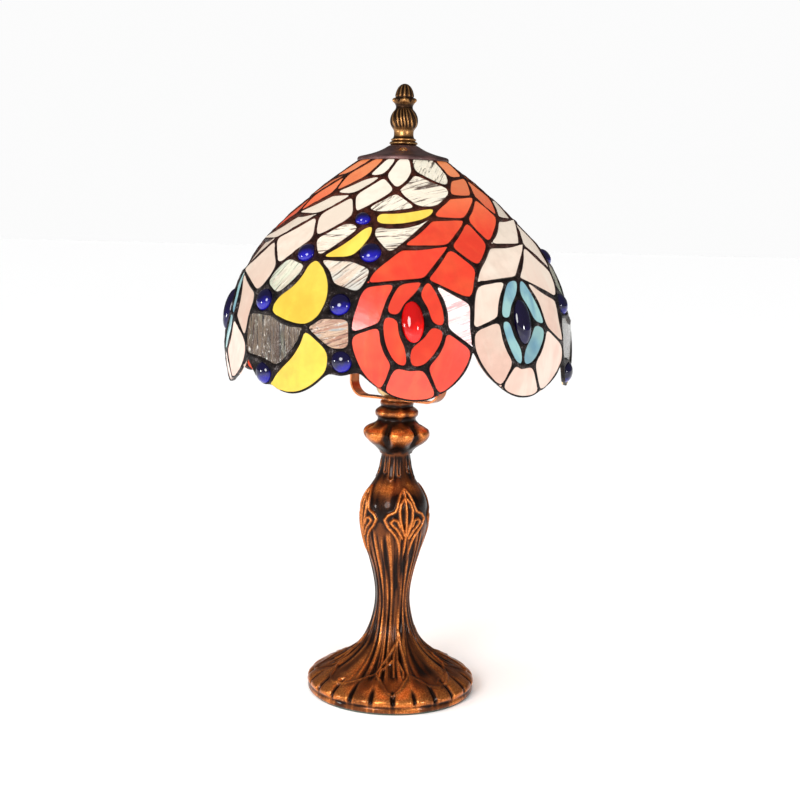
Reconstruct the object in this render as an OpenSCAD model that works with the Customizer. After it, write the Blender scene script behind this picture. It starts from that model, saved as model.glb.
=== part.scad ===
// Stained glass table lamp: leaded glass dome on a harp, over a cast bronze-finished base.
// Millimetres, +Z up. The origin is the middle of the felt's underside, on the lamp's axis.
// Azimuths run from the front (-Y) towards +X.

/* [Lamp] */
// Overall height, felt to finial tip
lamp_h = 451; // [448:1:460]
// Azimuth of the harp's plane, so that one arm stands to the back left
harp_turn = -35; // [-60:5:60]

/* [Base] */
// Radius of the foot
foot_r = 62.5; // [60:0.5:66]
// Thickness of the felt under the foot
felt_t = 1.2; // [0.8:0.1:2]
// Radius of the lamp pipe, 1/8-IP thread
pipe_r = 5.1; // [5:0.05:5.2]

/* [Shade] */
// Largest radius of the shade, a 10 inch shade
shade_r = 127; // [126:0.5:128]
// Height of the shade's widest circle
shade_z = 262; // [260:1:264]
// Radius of the form's lower arc
belly_r = 115; // [112:1:118]
// Angle of the lower arc above the widest circle
belly_angle = 42.7; // [41:0.1:44]
// Radius of the form's upper arc
crown_r = 373; // [360:1:390]
// Thickness of the glass
glass_t = 2.6; // [2:0.1:3]
// Half width of a solder seam, measured in the middle of the glass
seam = 2.1; // [1.8:0.1:2.4]
// Height of the solder bead above the glass
bead = 1.3; // [0.8:0.1:1.6]

/* [Harp and socket] */
// Half width of the harp
harp_half = 43; // [40:0.5:46]
// Radius of the harp's wire
wire_r = 2; // [1.8:0.1:2.2]
// Width of the saddle's strip
saddle_w = 10; // [9:0.5:12]
// Radius of the bulb's screw base, E26
screw_r = 13; // [12.9:0.05:13.1]
// Largest radius of the bulb
bulb_r = 29; // [24:1:30]

/* [Hidden] */
$fn = 96;

saddle_t = 1.3;
saddle_z = 221;
ferrule_z = 241;
socket_z = saddle_z + saddle_t;
screw_z = 250;
arch_z = 356;
eye_z = 396.5;
seat_z = 406;
cap_t = 1.2;
fit = 0.05;
gap = 0.3;
seam_step = 15;

// ---------- the dome's form, as two tangent arcs ----------

belly_x = shade_r - belly_r;
crown_x = belly_x + (belly_r - crown_r) * cos(belly_angle);
crown_z = shade_z + (belly_r - crown_r) * sin(belly_angle);
crown_angle = 14;
crown_len = crown_r * crown_angle * PI / 180;

// Angle of the outward normal above the horizontal, at a distance s down the form from its top
function slope(s) = belly_angle + (s < crown_len
    ? (crown_len - s) / crown_r
    : (crown_len - s) / belly_r) * 180 / PI;
function form_r(s) = s < crown_len
    ? crown_x + crown_r * cos(slope(s))
    : belly_x + belly_r * cos(slope(s));
function form_z(s) = s < crown_len
    ? crown_z + crown_r * sin(slope(s))
    : shade_z + belly_r * sin(slope(s));

// A point of the dome: p is [azimuth, distance down the form], lift is along the normal
function on_form(p, lift) = let (
    r = form_r(p[1]) + lift * cos(slope(p[1])),
    z = form_z(p[1]) + lift * sin(slope(p[1])))
    [r * sin(p[0]), -r * cos(p[0]), z];

// ---------- the pattern: one third of the shade, turned three times ----------
// Each point is [azimuth, distance down the form]. T takes a point one third of a turn.

T = [120, 0];

// Seam between the crescent panel and the red feather, crown to rim
A = [[44, 4], [41, 28], [33, 40], [29.5, 48], [19, 60.5], [14, 71], [0, 98], [-4, 105],
    [-9, 116], [-11, 127.5], [-13, 134], [-14.5, 150], [-14.5, 161], [-14, 171],
    [-11.5, 184.5], [-4.5, 197.5], [12.5, 200.5]];
// Seam between the red and the white feather, crown to notch
B = [[98, 4], [90, 29], [73, 47.5], [55.5, 69], [37, 94.5], [28, 114], [25.5, 125],
    [23.5, 138], [22.5, 157], [22.8, 169]];
// Seam between the white feather and the next crescent panel, crown to notch
C = [[129.5, 4], [129.5, 22], [116.5, 44], [101, 63.5], [97, 69], [95, 75.5], [83.5, 93],
    [79, 101], [76, 108.5], [72, 116], [69.5, 129], [66, 137], [65, 150], [64.5, 169],
    [65, 180]];
// Midribs of the red and the white feather, crown to eye
M = [[80, 4], [66, 25], [49.5, 48], [31.5, 72], [18.5, 97], [8.5, 123]];
N = [[113.5, 4], [105.5, 27], [90.5, 49], [76, 70], [58.5, 94], [44.5, 121]];
// Ring round the red eye and the frame of its jewel
E = [[-0.5, 125], [-4.5, 147], [-5.2, 154], [-1, 179.5], [3.3, 182.5], [8, 180.5],
    [14, 156], [10.5, 125]];
J = [[5.4, 133.5], [0.3, 149], [2.8, 168], [9.4, 153]];
// Ring round the white feather's eye and the frame of its jewel
F = [[38.5, 122.2], [32.7, 149.5], [38, 178.5], [41, 182.5], [46, 180], [52.8, 156],
    [47, 123.2]];
K = [[42, 133.5], [36.8, 150], [41.3, 169.5], [46.7, 152]];
// Corners of the white feather's lowest piece
Q = [[33, 195.5], [51, 201]];
// Crossings inside the crescent panel
P = [[8.5, 62], [-12, 67.5], [-11.5, 78.5], [-16.5, 81.5], [-11.5, 89], [-17, 108.5],
    [-30.5, 109.5], [-34, 114.5], [-22.8, 128.5], [-43, 138], [-24.5, 150], [-44, 149.5],
    [-29.5, 157.5], [-20.3, 172.5], [-39.5, 187], [-43, 198], [-21, 186.5], [-17, 190],
    [-47, 200], [-51.5, 191]];

// Bowed or wide seams: two ends, the bow at the middle as [azimuth, distance], half width
BOWS = [
    [A[14], A[15], [-0.5, 0.5], seam], [A[15], A[16], [0, 5.3], seam],
    [A[16], B[9], [2.3, 1.5], seam], [B[9], Q[0], [-1.4, 1.2], seam],
    [Q[0], Q[1], [0, 5.4], seam], [Q[1], C[14], [1.6, 2], seam],
    [E[0], E[1], [-0.6, 0], seam], [E[2], E[3], [-1.2, 1], seam],
    [E[3], E[4], [0, 0.6], seam], [E[4], E[5], [0, 0.6], seam],
    [E[5], E[6], [1.4, 1], seam], [E[6], E[7], [1.8, 0], seam],
    [J[0], J[1], [-1, -0.5], seam], [J[1], J[2], [-0.9, 0.5], seam],
    [J[2], J[3], [1.2, 0.8], seam], [J[3], J[0], [1, -0.6], seam],
    [F[0], F[1], [-1.2, 0], seam], [F[1], F[2], [-1.1, 1], seam],
    [F[2], F[3], [0, 0.6], seam], [F[3], F[4], [0, 0.6], seam],
    [F[4], F[5], [1.4, 0.8], seam], [F[5], F[6], [1.6, 0], seam],
    [K[0], K[1], [-1, -0.5], seam], [K[1], K[2], [-0.9, 0.6], seam],
    [K[2], K[3], [1, 0.7], seam], [K[3], K[0], [1, -0.6], seam],
    [C[1], C[2], [1.5, 0], seam], [C[0], C[1], [0, 0], 2.6],
    [P[2], A[5], [0, 4], 3], [P[0], P[1], [0, 0.6], seam],
    [P[3], P[6], [0.6, -0.4], 2.6], [P[4], P[5], [0.6, 0], seam],
    [P[5], P[6], [0, 0], 2.6], [P[6], P[8], [1.6, -0.5], 2.6],
    [P[8], P[10], [1.2, 0], seam], [P[10], P[12], [0.5, 0.5], 2.4],
    [P[11], P[12], [0, 2.2], 2.4], [P[7], P[9], [1.6, 0], 2.4],
    [P[12], P[14], [1.9, 0], seam], [P[16], P[15], [0, 10.5], seam],
    [P[14], C[14], [0, -1.5], seam]];

// The glass pieces, each as the crossings round it
RED = [
    [A[0], M[0], M[1], A[1]], [A[1], M[1], M[2], A[3], A[2]], [A[3], M[2], M[3], A[5], A[4]],
    [A[5], M[3], M[4], A[6]], [A[6], M[4], M[5], E[0], A[9], A[8], A[7]],
    [M[0], B[0], B[1], B[2], M[1]], [M[1], B[2], B[3], M[2]], [M[2], B[3], B[4], M[3]],
    [M[3], B[4], B[5], M[4]], [M[4], B[5], B[6], B[7], E[7], M[5]],
    [E[0], M[5], J[0], J[1], E[1]], [M[5], E[7], E[6], J[3], J[0]],
    [J[3], E[6], E[5], E[4], J[2]], [E[1], J[1], J[2], E[4], E[3], E[2]],
    [A[9], E[0], E[1], E[2], A[12], A[11], A[10]], [A[12], E[2], E[3], A[15], A[14], A[13]],
    [E[3], E[4], E[5], A[16], A[15]], [E[5], E[6], B[9], A[16]]];
WHITE = [
    [B[0], N[0], N[1], B[1]], [B[1], N[1], N[2], B[2]], [B[2], N[2], N[3], B[3]],
    [B[3], N[3], N[4], B[4]], [B[4], N[4], N[5], F[0], B[6], B[5]],
    [N[0], C[0], C[1], C[2], N[1]], [N[1], C[2], C[3], C[4], N[2]],
    [N[2], C[4], C[5], C[6], N[3]], [N[3], C[6], C[7], C[8], C[9], N[4]],
    [N[4], C[9], C[10], C[11], F[6], N[5]],
    [B[6], F[0], F[1], B[8], B[7]], [B[8], F[1], F[2], Q[0], B[9]],
    [F[2], F[3], F[4], Q[1], Q[0]], [F[4], F[5], C[13], C[14], Q[1]],
    [F[6], C[11], C[12], C[13], F[5]]];
TEAL = [
    [F[0], N[5], K[0], K[1], F[1]], [N[5], F[6], F[5], K[3], K[0]],
    [K[3], F[5], F[4], F[3], K[2]], [F[1], K[1], K[2], F[3], F[2]]];
PINK = [[E[7], B[7], B[8], B[9], E[6]]];
YELLOW = [
    [P[1], P[0], A[4], A[5], P[2]], [P[2], P[4], P[5], P[6], P[3]],
    [P[6], P[8], P[10], P[12], P[11], P[9], P[7]],
    [P[12], P[13], P[16], P[15], P[14]]];
BEIGE = [
    [C[1] - T, A[2], A[3], A[4], P[0], C[2] - T], [C[2] - T, P[0], P[1], C[3] - T],
    [C[5] - T, P[3], P[6], C[6] - T], [P[6], P[5], A[8], A[9], A[10], P[8]],
    [P[2], A[5], A[6], A[7], P[4]], [P[10], A[11], A[12], A[13], P[13], P[12]]];
GREEN = [
    [C[0] - T, A[0], A[1], A[2], C[1] - T],
    [C[8] - T, P[7], P[9], C[10] - T, C[9] - T]];
BROWN = [[C[12] - T, P[11], P[12], P[14], C[14] - T, C[13] - T]];
GLASS = concat(RED, WHITE, TEAL, PINK, YELLOW, BEIGE, GREEN, BROWN);

// The set stones: the crossings round each, its middle, its half width, half height and lean
BLUE_GEMS = [
    [[C[3] - T, P[1], P[2], P[3], C[5] - T, C[4] - T], [-18, 73.5], 4.8, 4.8, 0],
    [[P[4], A[7], A[8], P[5]], [-11, 103], 6.5, 6.9, 0],
    [[C[6] - T, P[6], P[7], C[8] - T, C[7] - T], [-37, 104.5], 6, 6.6, 0],
    [[P[8], A[10], A[11], P[10]], [-18.6, 141.5], 6.4, 6.8, 0],
    [[C[10] - T, P[9], P[11], C[12] - T, C[11] - T], [-49, 141], 6.8, 7, 0],
    [[P[13], A[13], A[14], P[17], P[16]], [-16.8, 178.8], 6.2, 6.8, 0],
    [[C[14] - T, P[14], P[15], P[18], P[19]], [-46, 190.8], 6.4, 7, 0]];
RED_JEWELS = [[[J[0], J[1], J[2], J[3]], [4.2, 151.5], 6.6, 13, -5]];
NAVY_JEWELS = [[[K[0], K[1], K[2], K[3]], [41.7, 151.5], 6.4, 14.5, -2]];
STONES = concat(BLUE_GEMS, RED_JEWELS, NAVY_JEWELS);

// Free edges of one third: along the crown from left to right, and round the lobes back again
CROWN = [C[0] - T, A[0], M[0], B[0], N[0], C[0]];
RIM = [C[14], Q[1], Q[0], B[9], A[16], A[15], A[14], P[17], P[16], P[15], P[18], P[19],
    C[14] - T];

// ---------- working out the pattern's points ----------

// Millimetres for one degree of azimuth, at a distance s down the form
function mm_per_degree(s) = form_r(s) * PI / 180;
function same(p, q) = p[1] == q[1] && (p[0] - q[0]) % 120 == 0;
function bow_of(p, q) = [for (b = BOWS)
    if ((same(b[0], p) && same(b[1], q)) || (same(b[0], q) && same(b[1], p))) b];
function length_of(p, q) =
    norm([(p[0] - q[0]) * mm_per_degree((p[1] + q[1]) / 2), p[1] - q[1]]);
function steps_of(p, q, bow) = ceil((length_of(p, q) + 3 * norm(bow)) / seam_step - 0.01);

// Points of one seam from p up to, but without, q; both directions give the same points
function seam_points(p, q) = let (
    found = bow_of(p, q),
    bow = len(found) > 0 ? found[0][2] : [0, 0],
    n = steps_of(p, q, bow),
    forward = p[1] < q[1] || (p[1] == q[1] && p[0] < q[0]),
    from = forward ? p : q,
    to = forward ? q : p)
    [for (i = [0:n - 1]) let (t = (forward ? i : n - i) / n)
        t == 0 ? from : t == 1 ? to : from + (to - from) * t + bow * 4 * t * (1 - t)];
function width_of(p, q) = let (found = bow_of(p, q)) len(found) > 0 ? found[0][3] : seam;

// Closed outline of a cell, and the half width of the seam that starts at each of its points
function outline(cell) = [for (i = [0:len(cell) - 1])
    each seam_points(cell[i], cell[(i + 1) % len(cell)])];
function widths(cell) = [for (i = [0:len(cell) - 1]) let (
    p = cell[i],
    q = cell[(i + 1) % len(cell)])
    each [for (s = seam_points(p, q)) width_of(p, q)]];

function mean(points) = [for (k = [0, 1]) let (list = [for (p = points) p[k]])
    list * [for (v = list) 1] / len(list)];
function turned_left(a, b) = a[0] * b[1] - a[1] * b[0];
function area(points) = let (n = len(points)) [for (i = [0:n - 1])
    turned_left(points[i], points[(i + 1) % n])] * [for (i = [0:n - 1]) 1] / 2;

// Moves each side of a flat outline inwards by its own distance; sharp corners are cut short
function inset(points, sides) = let (
    n = len(points),
    turn = area(points) > 0 ? 1 : -1,
    normals = [for (i = [0:n - 1]) let (d = points[(i + 1) % n] - points[i])
        turn * [-d[1], d[0]] / norm(d)])
    [for (i = [0:n - 1]) let (
        before = (i + n - 1) % n,
        k = max(0.35, 1 + normals[i] * normals[before]))
        points[i] + (normals[i] * sides[i] + normals[before] * sides[before]) / k];

// The same on the dome: the outline is laid flat around its own middle
function inset_on_form(points, sides) = let (
    k = mm_per_degree(mean(points)[1]),
    flat = [for (p = points) [p[0] * k, p[1]]])
    [for (p = inset(flat, sides)) [p[0] / k, p[1]]];

// Points of a stone's oval that face the outline's points
function oval_facing(stone, points, grow) = let (
    middle = stone[1],
    k = mm_per_degree(middle[1]),
    a = stone[2] + grow,
    b = stone[3] + grow)
    [for (p = points) let (
        d = [(p[0] - middle[0]) * k, p[1] - middle[1]],
        angle = atan2(d[1], d[0]) - stone[4],
        r = a * b / norm([b * cos(angle), a * sin(angle)]),
        at = r * [cos(angle + stone[4]), sin(angle + stone[4])])
        [middle[0] + at[0] / k, middle[1] + at[1]]];

// ---------- the solder network, one closed skin ----------

top_lift = bead;
mid_lift = -glass_t / 2;
low_lift = -glass_t - bead;
function spin_points(points, k) = [for (p = points) p + k * T];

// Faces between the cell's outline, on both sides, and the edge of its opening
function cell_patch(points, opening, k) = let (
    around = spin_points(points, k),
    inside = spin_points(opening, k),
    n = len(points),
    turn = area(points) > 0 ? 1 : -1)
    [for (i = [0:n - 1]) let (
        j = (i + 1) % n,
        first = turn > 0 ? i : j,
        second = turn > 0 ? j : i)
        each [
            [on_form(around[first], top_lift), on_form(around[second], top_lift),
                on_form(inside[second], mid_lift), on_form(inside[first], mid_lift)],
            [on_form(around[second], low_lift), on_form(around[first], low_lift),
                on_form(inside[first], mid_lift), on_form(inside[second], mid_lift)]]];

// Wall along a free edge
function edge_wall(corners, k) = let (
    last = len(corners) - 1,
    points = spin_points(concat(
        [for (i = [0:last - 1]) each seam_points(corners[i], corners[i + 1])],
        [corners[last]]), k))
    [for (i = [0:len(points) - 2])
        [on_form(points[i], top_lift), on_form(points[i], low_lift),
            on_form(points[i + 1], low_lift), on_form(points[i + 1], top_lift)]];

module solder_network() {
    quads = [for (k = [0:2]) each concat(
        [for (cell = GLASS) let (points = outline(cell))
            each cell_patch(points, inset_on_form(points, widths(cell)), k)],
        [for (stone = STONES) let (points = outline(stone[0]))
            each cell_patch(points, oval_facing(stone, points, 0.3), k)],
        edge_wall(CROWN, k),
        edge_wall(RIM, k))];
    color([0.16, 0.12, 0.12])
        polyhedron(
            points = [for (quad = quads) each quad],
            faces = [for (i = [0:len(quads) - 1]) each
                [[4 * i, 4 * i + 1, 4 * i + 2], [4 * i, 4 * i + 2, 4 * i + 3]]],
            convexity = 20);
}

// ---------- the glass ----------

edge_cover = 0.8;
stone_cover = 0.7;

// The part of one arc's band that lies inside a polygon
module form_band(x, z, r, corners) {
    intersection() {
        translate([x, z])
            difference() {
                circle(r, $fn = 360);
                circle(r - glass_t, $fn = 360);
            }
        polygon(corners);
    }
}

// The whole form in glass; the two arcs' bands meet on one line through both centres
module glass_shell() {
    reach = belly_r + 20;
    low_angle = -18;
    middle = [belly_x, shade_z];
    meet = middle + reach * [cos(belly_angle), sin(belly_angle)];
    top_angle = belly_angle + crown_angle;
    top = [cos(top_angle), sin(top_angle)];
    rotate_extrude(angle = 360)
        union() {
            form_band(belly_x, shade_z, belly_r,
                [middle, middle + reach * [cos(low_angle), sin(low_angle)],
                    middle + 1.1 * reach * [1, 0.2], meet]);
            form_band(crown_x, crown_z, crown_r,
                [middle, meet, [crown_x, crown_z] + (crown_r + 20) * top,
                    [crown_x, crown_z] + (crown_r - 20) * top]);
        }
}

// Stands a flat piece on the form at a point: its X runs round the shade, its Y up the slope
module stand_on_form(p) {
    lean = slope(p[1]);
    rotate([0, 0, p[0]])
        translate([0, -form_r(p[1]), form_z(p[1])])
            rotate([90 - lean, 0, 0])
                children();
}

// Where a point of the form lies on the flat that touches the form at a middle
function on_flat(p, middle) = let (
    q = on_form([p[0] - middle[0], p[1]], 0),
    lean = slope(middle[1]),
    d = q - [0, -form_r(middle[1]), form_z(middle[1])])
    [d[0], d[1] * sin(lean) + d[2] * cos(lean)];

// Columns that cut the pieces of one glass out of the shell
module glass_pieces(cells) {
    intersection() {
        glass_shell();
        for (k = [0:2], cell = cells) {
            points = outline(cell);
            middle = mean(points);
            cut = inset_on_form(points, [for (w = widths(cell)) w * edge_cover / seam]);
            stand_on_form(middle + k * T)
                translate([0, 0, -9])
                    linear_extrude(height = 12)
                        polygon([for (p = cut) on_flat(p, middle)]);
        }
    }
}

module glass_red() { color([0.95, 0.25, 0.15]) glass_pieces(RED); }
module glass_white() { color([1, 0.93, 0.84]) glass_pieces(WHITE); }
module glass_teal() { color([0.55, 0.8, 0.8]) glass_pieces(TEAL); }
module glass_yellow() { color([1, 0.87, 0.2]) glass_pieces(YELLOW); }
module glass_pink_ripple() { color([0.95, 0.75, 0.8]) glass_pieces(PINK); }
module glass_beige_ripple() { color([0.85, 0.75, 0.65]) glass_pieces(BEIGE); }
module glass_green_ripple() { color([0.75, 0.88, 0.78]) glass_pieces(GREEN); }
module glass_brown_ripple() { color([0.45, 0.38, 0.35]) glass_pieces(BROWN); }

// Rings of a cabochon, [radius, height]: a shallow back, the girdle and a domed front
function cabochon_rings(r, proud) = [[0.7 * r, -glass_t - 0.5], [r, -glass_t / 2],
    [0.97 * r, -0.3], [0.86 * r, 0.36 * proud], [0.66 * r, 0.68 * proud],
    [0.38 * r, 0.9 * proud]];

module round_cabochon(r, proud) {
    rotate_extrude()
        polygon(concat([[0, -glass_t - 0.5]], cabochon_rings(r, proud), [[0, proud]]));
}

// Long oval cabochon: a hull through its rings
module long_cabochon(a, b, proud) {
    hull()
        for (ring = concat(cabochon_rings(a, proud), [[0.12 * a, proud]]))
            translate([0, 0, ring[1]])
                scale([1, b / a, 1])
                    cylinder(h = 0.02, r = ring[0], $fn = 32);
}

module set_gems(stones, proud) {
    for (k = [0:2], stone = stones)
        stand_on_form(stone[1] + k * T)
            round_cabochon((stone[2] + stone[3]) / 2 + stone_cover, proud);
}

module set_jewels(stones, proud) {
    for (k = [0:2], stone = stones)
        stand_on_form(stone[1] + k * T)
            rotate([0, 0, -stone[4]])
                long_cabochon(stone[2] + stone_cover, stone[3] + stone_cover, proud);
}

module gems_blue() { color([0.15, 0.15, 0.75]) set_gems(BLUE_GEMS, 3.2); }
module jewels_red() { color([1, 0.05, 0.03]) set_jewels(RED_JEWELS, 3.6); }
module jewels_navy() { color([0.1, 0.07, 0.35]) set_jewels(NAVY_JEWELS, 3.6); }

// ---------- the crown: ring, cap and finial ----------

crown_ring_r = 28.3;

// Brass band soldered into the opening at the crown
module crown_ring() {
    color([0.6, 0.45, 0.25])
        translate([0, 0, form_z(4) - 3.6])
            difference() {
                cylinder(h = 6.3, r = crown_ring_r);
                translate([0, 0, -1])
                    cylinder(h = 9, r = crown_ring_r - 1.3);
            }
}

vent_ring_r = 21;
vent_r = 2.7;

// Vented cap: a shallow cone with a flared lip and a flat seat in its middle
module shade_cap() {
    color([0.3, 0.22, 0.24])
        difference() {
            translate([0, 0, seat_z])
                rotate_extrude()
                    polygon([[3.4, 0], [9, 0], [13, -0.2], [16.7, -1.2], [22.6, -3.5],
                        [27, -5.7], [29.8, -7.6], [31.8, -8.9], [32.6, -9.3], [33.1, -8.8],
                        [32.6, -7.9], [30.5, -6.5], [27.6, -4.5], [23, -2.3], [17.1, 0],
                        [13, 1], [9.5, cap_t], [3.4, cap_t]]);
            for (k = [0:3])
                rotate([0, 0, 90 * k])
                    translate([0, -vent_ring_r, seat_z - 9])
                        cylinder(h = 12, r = vent_r);
        }
}

stud_r = 2.5;
thread_r = 3.1;
eye_t = 6;

// Stud that swivels in the harp's eye: head below, shoulder under the cap, thread above
module harp_stud() {
    color([0.75, 0.6, 0.35]) {
        translate([0, 0, eye_z - gap - 2.4])
            cylinder(h = 2.4, r = 4.2);
        translate([0, 0, eye_z - gap - 1])
            cylinder(h = eye_t + 2 * gap + 2, r = stud_r);
        translate([0, 0, eye_z + eye_t + gap])
            cylinder(h = seat_z - eye_z - eye_t - gap, r = 6);
        translate([0, 0, seat_z - 1])
            cylinder(h = 22, r = thread_r);
    }
}

collar_z = seat_z + cap_t;

// Loose collar under the finial, with its rolled edge
module finial_collar() {
    color([0.5, 0.36, 0.18])
        translate([0, 0, collar_z])
            rotate_extrude()
                polygon([[thread_r + fit, 0], [9.2, 0], [10.2, 0.9], [10.2, 1.7], [9.2, 2.5],
                    [7.6, 2.8], [thread_r + fit, 2.8]]);
}

finial_z = collar_z + 2.8;
finial_h = lamp_h - finial_z;
thread_depth = 18;

module finial() {
    color([0.45, 0.3, 0.15])
        difference() {
            union() {
                translate([0, 0, finial_z])
                    rotate_extrude()
                        polygon([[0, 0], [8.6, 0], [9, 1], [7.9, 2.2], [7.2, 4.5], [7.4, 7.5],
                            [8.8, 9.8], [9.8, 12.5], [10, 15.5], [9.3, 18.5], [8, 20.8],
                            [6.6, 22.6], [6.2, 24.6], [7.2, 26.4], [8.2, 28.8], [7.4, 30],
                            [6.4, 30.6], [6.2, 33], [5.3, 35.8], [3.8, 38.6], [1.6, 40.4],
                            [0, finial_h]]);
                // Leaf tips standing out of the collar of the acorn
                for (k = [0:4])
                    rotate([0, 0, 72 * k])
                        translate([0, -6.2, finial_z + 28.2])
                            rotate([40, 0, 0])
                                cylinder(h = 4, r = 1.2, $fn = 16);
            }
            translate([0, 0, finial_z - 1])
                cylinder(h = thread_depth + 1, r = thread_r + fit);
        }
}

// ---------- the base ----------

// Outside of the casting from foot to neck, [radius, height]
casting_outline = [[foot_r - 1.2, felt_t], [foot_r, 2.4], [foot_r, 8.2], [foot_r - 1, 10.6],
    [58, 13.6], [52, 17.2], [44.5, 21], [37, 25], [30.5, 29.5], [25.5, 34], [21.6, 39],
    [18.8, 44.5], [16.4, 51], [14.6, 58], [13.4, 65], [13, 72], [13.5, 80], [15, 88.5],
    [17.2, 97.5], [19.8, 106], [22.4, 115], [24.4, 124], [25.3, 132], [25.1, 139],
    [23.8, 146], [21, 152.5], [17.2, 158.5], [13.9, 164], [11.9, 170], [10.9, 176],
    [10.6, 181], [10.4, 188]];
// Hollow of the foot, and above its bridge the hollow of the shaft and the vase
foot_hollow = [[57, felt_t], [57, 9], [54.5, 12], [48, 15], [40, 19], [33, 23.5], [27, 28.5],
    [22, 34.5], [18.2, 41]];
shaft_hollow = [[16.6, 45], [15, 49], [12.6, 57], [10.6, 65], [9.8, 73], [10.6, 83], [13, 93],
    [16.4, 104], [19.6, 115], [21.6, 125], [22, 134], [20.6, 143], [17, 150.5], [12, 157],
    [8, 158]];
pipe_hole = pipe_r + 0.2;
bridge_z = 41;
bridge_t = 4;
neck_top = 188;
inlet_z = 6.5;
inlet_r = 4.6;

function reversed(list) = [for (i = [len(list) - 1:-1:0]) list[i]];

// Hollow casting in one piece: foot, shaft and vase, with a bridge for the pipe's nut
module base_casting() {
    color([0.45, 0.25, 0.13])
        difference() {
            rotate_extrude()
                polygon(concat(casting_outline, [[pipe_hole, neck_top], [pipe_hole, 160]],
                    reversed(shaft_hollow),
                    [[pipe_hole, bridge_z + bridge_t], [pipe_hole, bridge_z]],
                    reversed(foot_hollow)));
            // Way through the foot for the cord, at the back
            translate([0, 50, inlet_z])
                rotate([-90, 0, 0])
                    cylinder(h = 20, r = inlet_r);
        }
}

// Spun collar of the neck: lobed flange, torus and top ring
module neck_collar() {
    lobes = 6;
    color([0.55, 0.3, 0.15])
        difference() {
            rotate_extrude()
                polygon([[pipe_hole, neck_top], [10.7, neck_top], [10.7, 181.5], [12, 181.5],
                    [14.2, 184.8], [20.3, 189.3], [23.8, 193], [24.8, 196.4], [24, 199.2],
                    [18.6, 202.4], [15.2, 205], [14.2, 207.2], [15, 209.6], [16.1, 211.9],
                    [15.2, 214.2], [13, 216], [12, 217.4], [12.4, 218.6], [12.4, 220],
                    [11.6, saddle_z], [pipe_hole, saddle_z]]);
            // Notches between the lobes
            for (k = [0:lobes - 1])
                rotate([0, 0, 360 / lobes * k - 19])
                    translate([0, -27, 186])
                        cylinder(h = 16.5, r = 4.4);
        }
}

module felt_pad() {
    color([0.12, 0.2, 0.14])
        difference() {
            cylinder(h = felt_t, r = foot_r - 2);
            translate([0, 0, -1])
                cylinder(h = felt_t + 2, r = 14);
        }
}

pipe_z = 31;
pipe_len = 201;
washer_t = 2;
nut_t = 5;

// Threaded tube that ties the whole base together
module lamp_pipe() {
    color([0.7, 0.7, 0.72])
        translate([0, 0, pipe_z])
            difference() {
                cylinder(h = pipe_len, r = pipe_r);
                translate([0, 0, -1])
                    cylinder(h = pipe_len + 2, r = 3.6);
            }
}

module bottom_washer() {
    color([0.65, 0.65, 0.67])
        translate([0, 0, bridge_z - washer_t])
            difference() {
                cylinder(h = washer_t, r = 13);
                translate([0, 0, -1])
                    cylinder(h = washer_t + 2, r = pipe_r + 0.1);
            }
}

module bottom_nut() {
    color([0.75, 0.62, 0.35])
        translate([0, 0, bridge_z - washer_t - nut_t])
            difference() {
                cylinder(h = nut_t, r = 9, $fn = 6);
                translate([0, 0, -1])
                    cylinder(h = nut_t + 2, r = pipe_r + fit);
            }
}

bush_r = 3.4;
bush_len = 9;

// Cord inlet: a moulded bush in the back of the foot, its bore for the cord
module cord_bushing() {
    color([0.1, 0.1, 0.1])
        translate([0, foot_r + 1.45, inlet_z])
            rotate([90, 0, 0])
                difference() {
                    union() {
                        cylinder(h = bush_len, r = inlet_r - fit);
                        cylinder(h = 1.4, r = inlet_r + 1.2);
                    }
                    translate([0, 0, -1])
                        cylinder(h = bush_len + 2, r = bush_r);
                }
}

// ---------- harp ----------

// Turns a part into the harp's plane: X runs along the plane
module in_harp_plane() {
    rotate([0, 0, harp_turn])
        children();
}

saddle_bend = 12;
saddle_eye_r = 9.6;
wire_gap = 0.4;

// Saddle: one flat strip, wider round the pipe's hole, both ends turned up beside the arms
module harp_saddle() {
    flat = harp_half - wire_r - wire_gap - saddle_bend;
    color([0.78, 0.45, 0.22])
        in_harp_plane()
            difference() {
                union() {
                    rotate([90, 0, 0])
                        translate([0, 0, -saddle_w / 2])
                            linear_extrude(height = saddle_w)
                                for (side = [0, 1])
                                    mirror([side, 0])
                                        saddle_half(flat);
                    translate([0, 0, saddle_z])
                        cylinder(h = saddle_t, r = saddle_eye_r);
                }
                translate([0, 0, saddle_z - 1])
                    cylinder(h = 4, r = pipe_r + 0.1);
            }
}

// Half of the strip: flat, quarter bend and upright end
module saddle_half(flat) {
    translate([-1, saddle_z])
        square([flat + 1.02, saddle_t]);
    translate([flat, saddle_z + saddle_bend]) {
        intersection() {
            difference() {
                circle(saddle_bend);
                circle(saddle_bend - saddle_t);
            }
            translate([0, -saddle_bend])
                square(saddle_bend);
        }
        translate([saddle_bend - saddle_t, -0.02])
            square([saddle_t, 20]);
    }
}

// Bow of round wire: two straight arms, a half circle and an eye for the stud
module harp_bow() {
    color([0.78, 0.5, 0.25])
        in_harp_plane()
            difference() {
                union() {
                    for (side = [-1, 1])
                        translate([side * harp_half, 0, 237])
                            cylinder(h = arch_z - 237, r = wire_r, $fn = 32);
                    translate([0, 0, arch_z])
                        rotate([90, 0, 0])
                            rotate_extrude(angle = 180)
                                translate([harp_half, 0])
                                    circle(wire_r, $fn = 32);
                    translate([0, 0, eye_z])
                        cylinder(h = eye_t, r = 6.4);
                }
                translate([0, 0, eye_z - 1])
                    cylinder(h = eye_t + 2, r = stud_r + fit);
            }
}

ferrule_h = 12;

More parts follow.
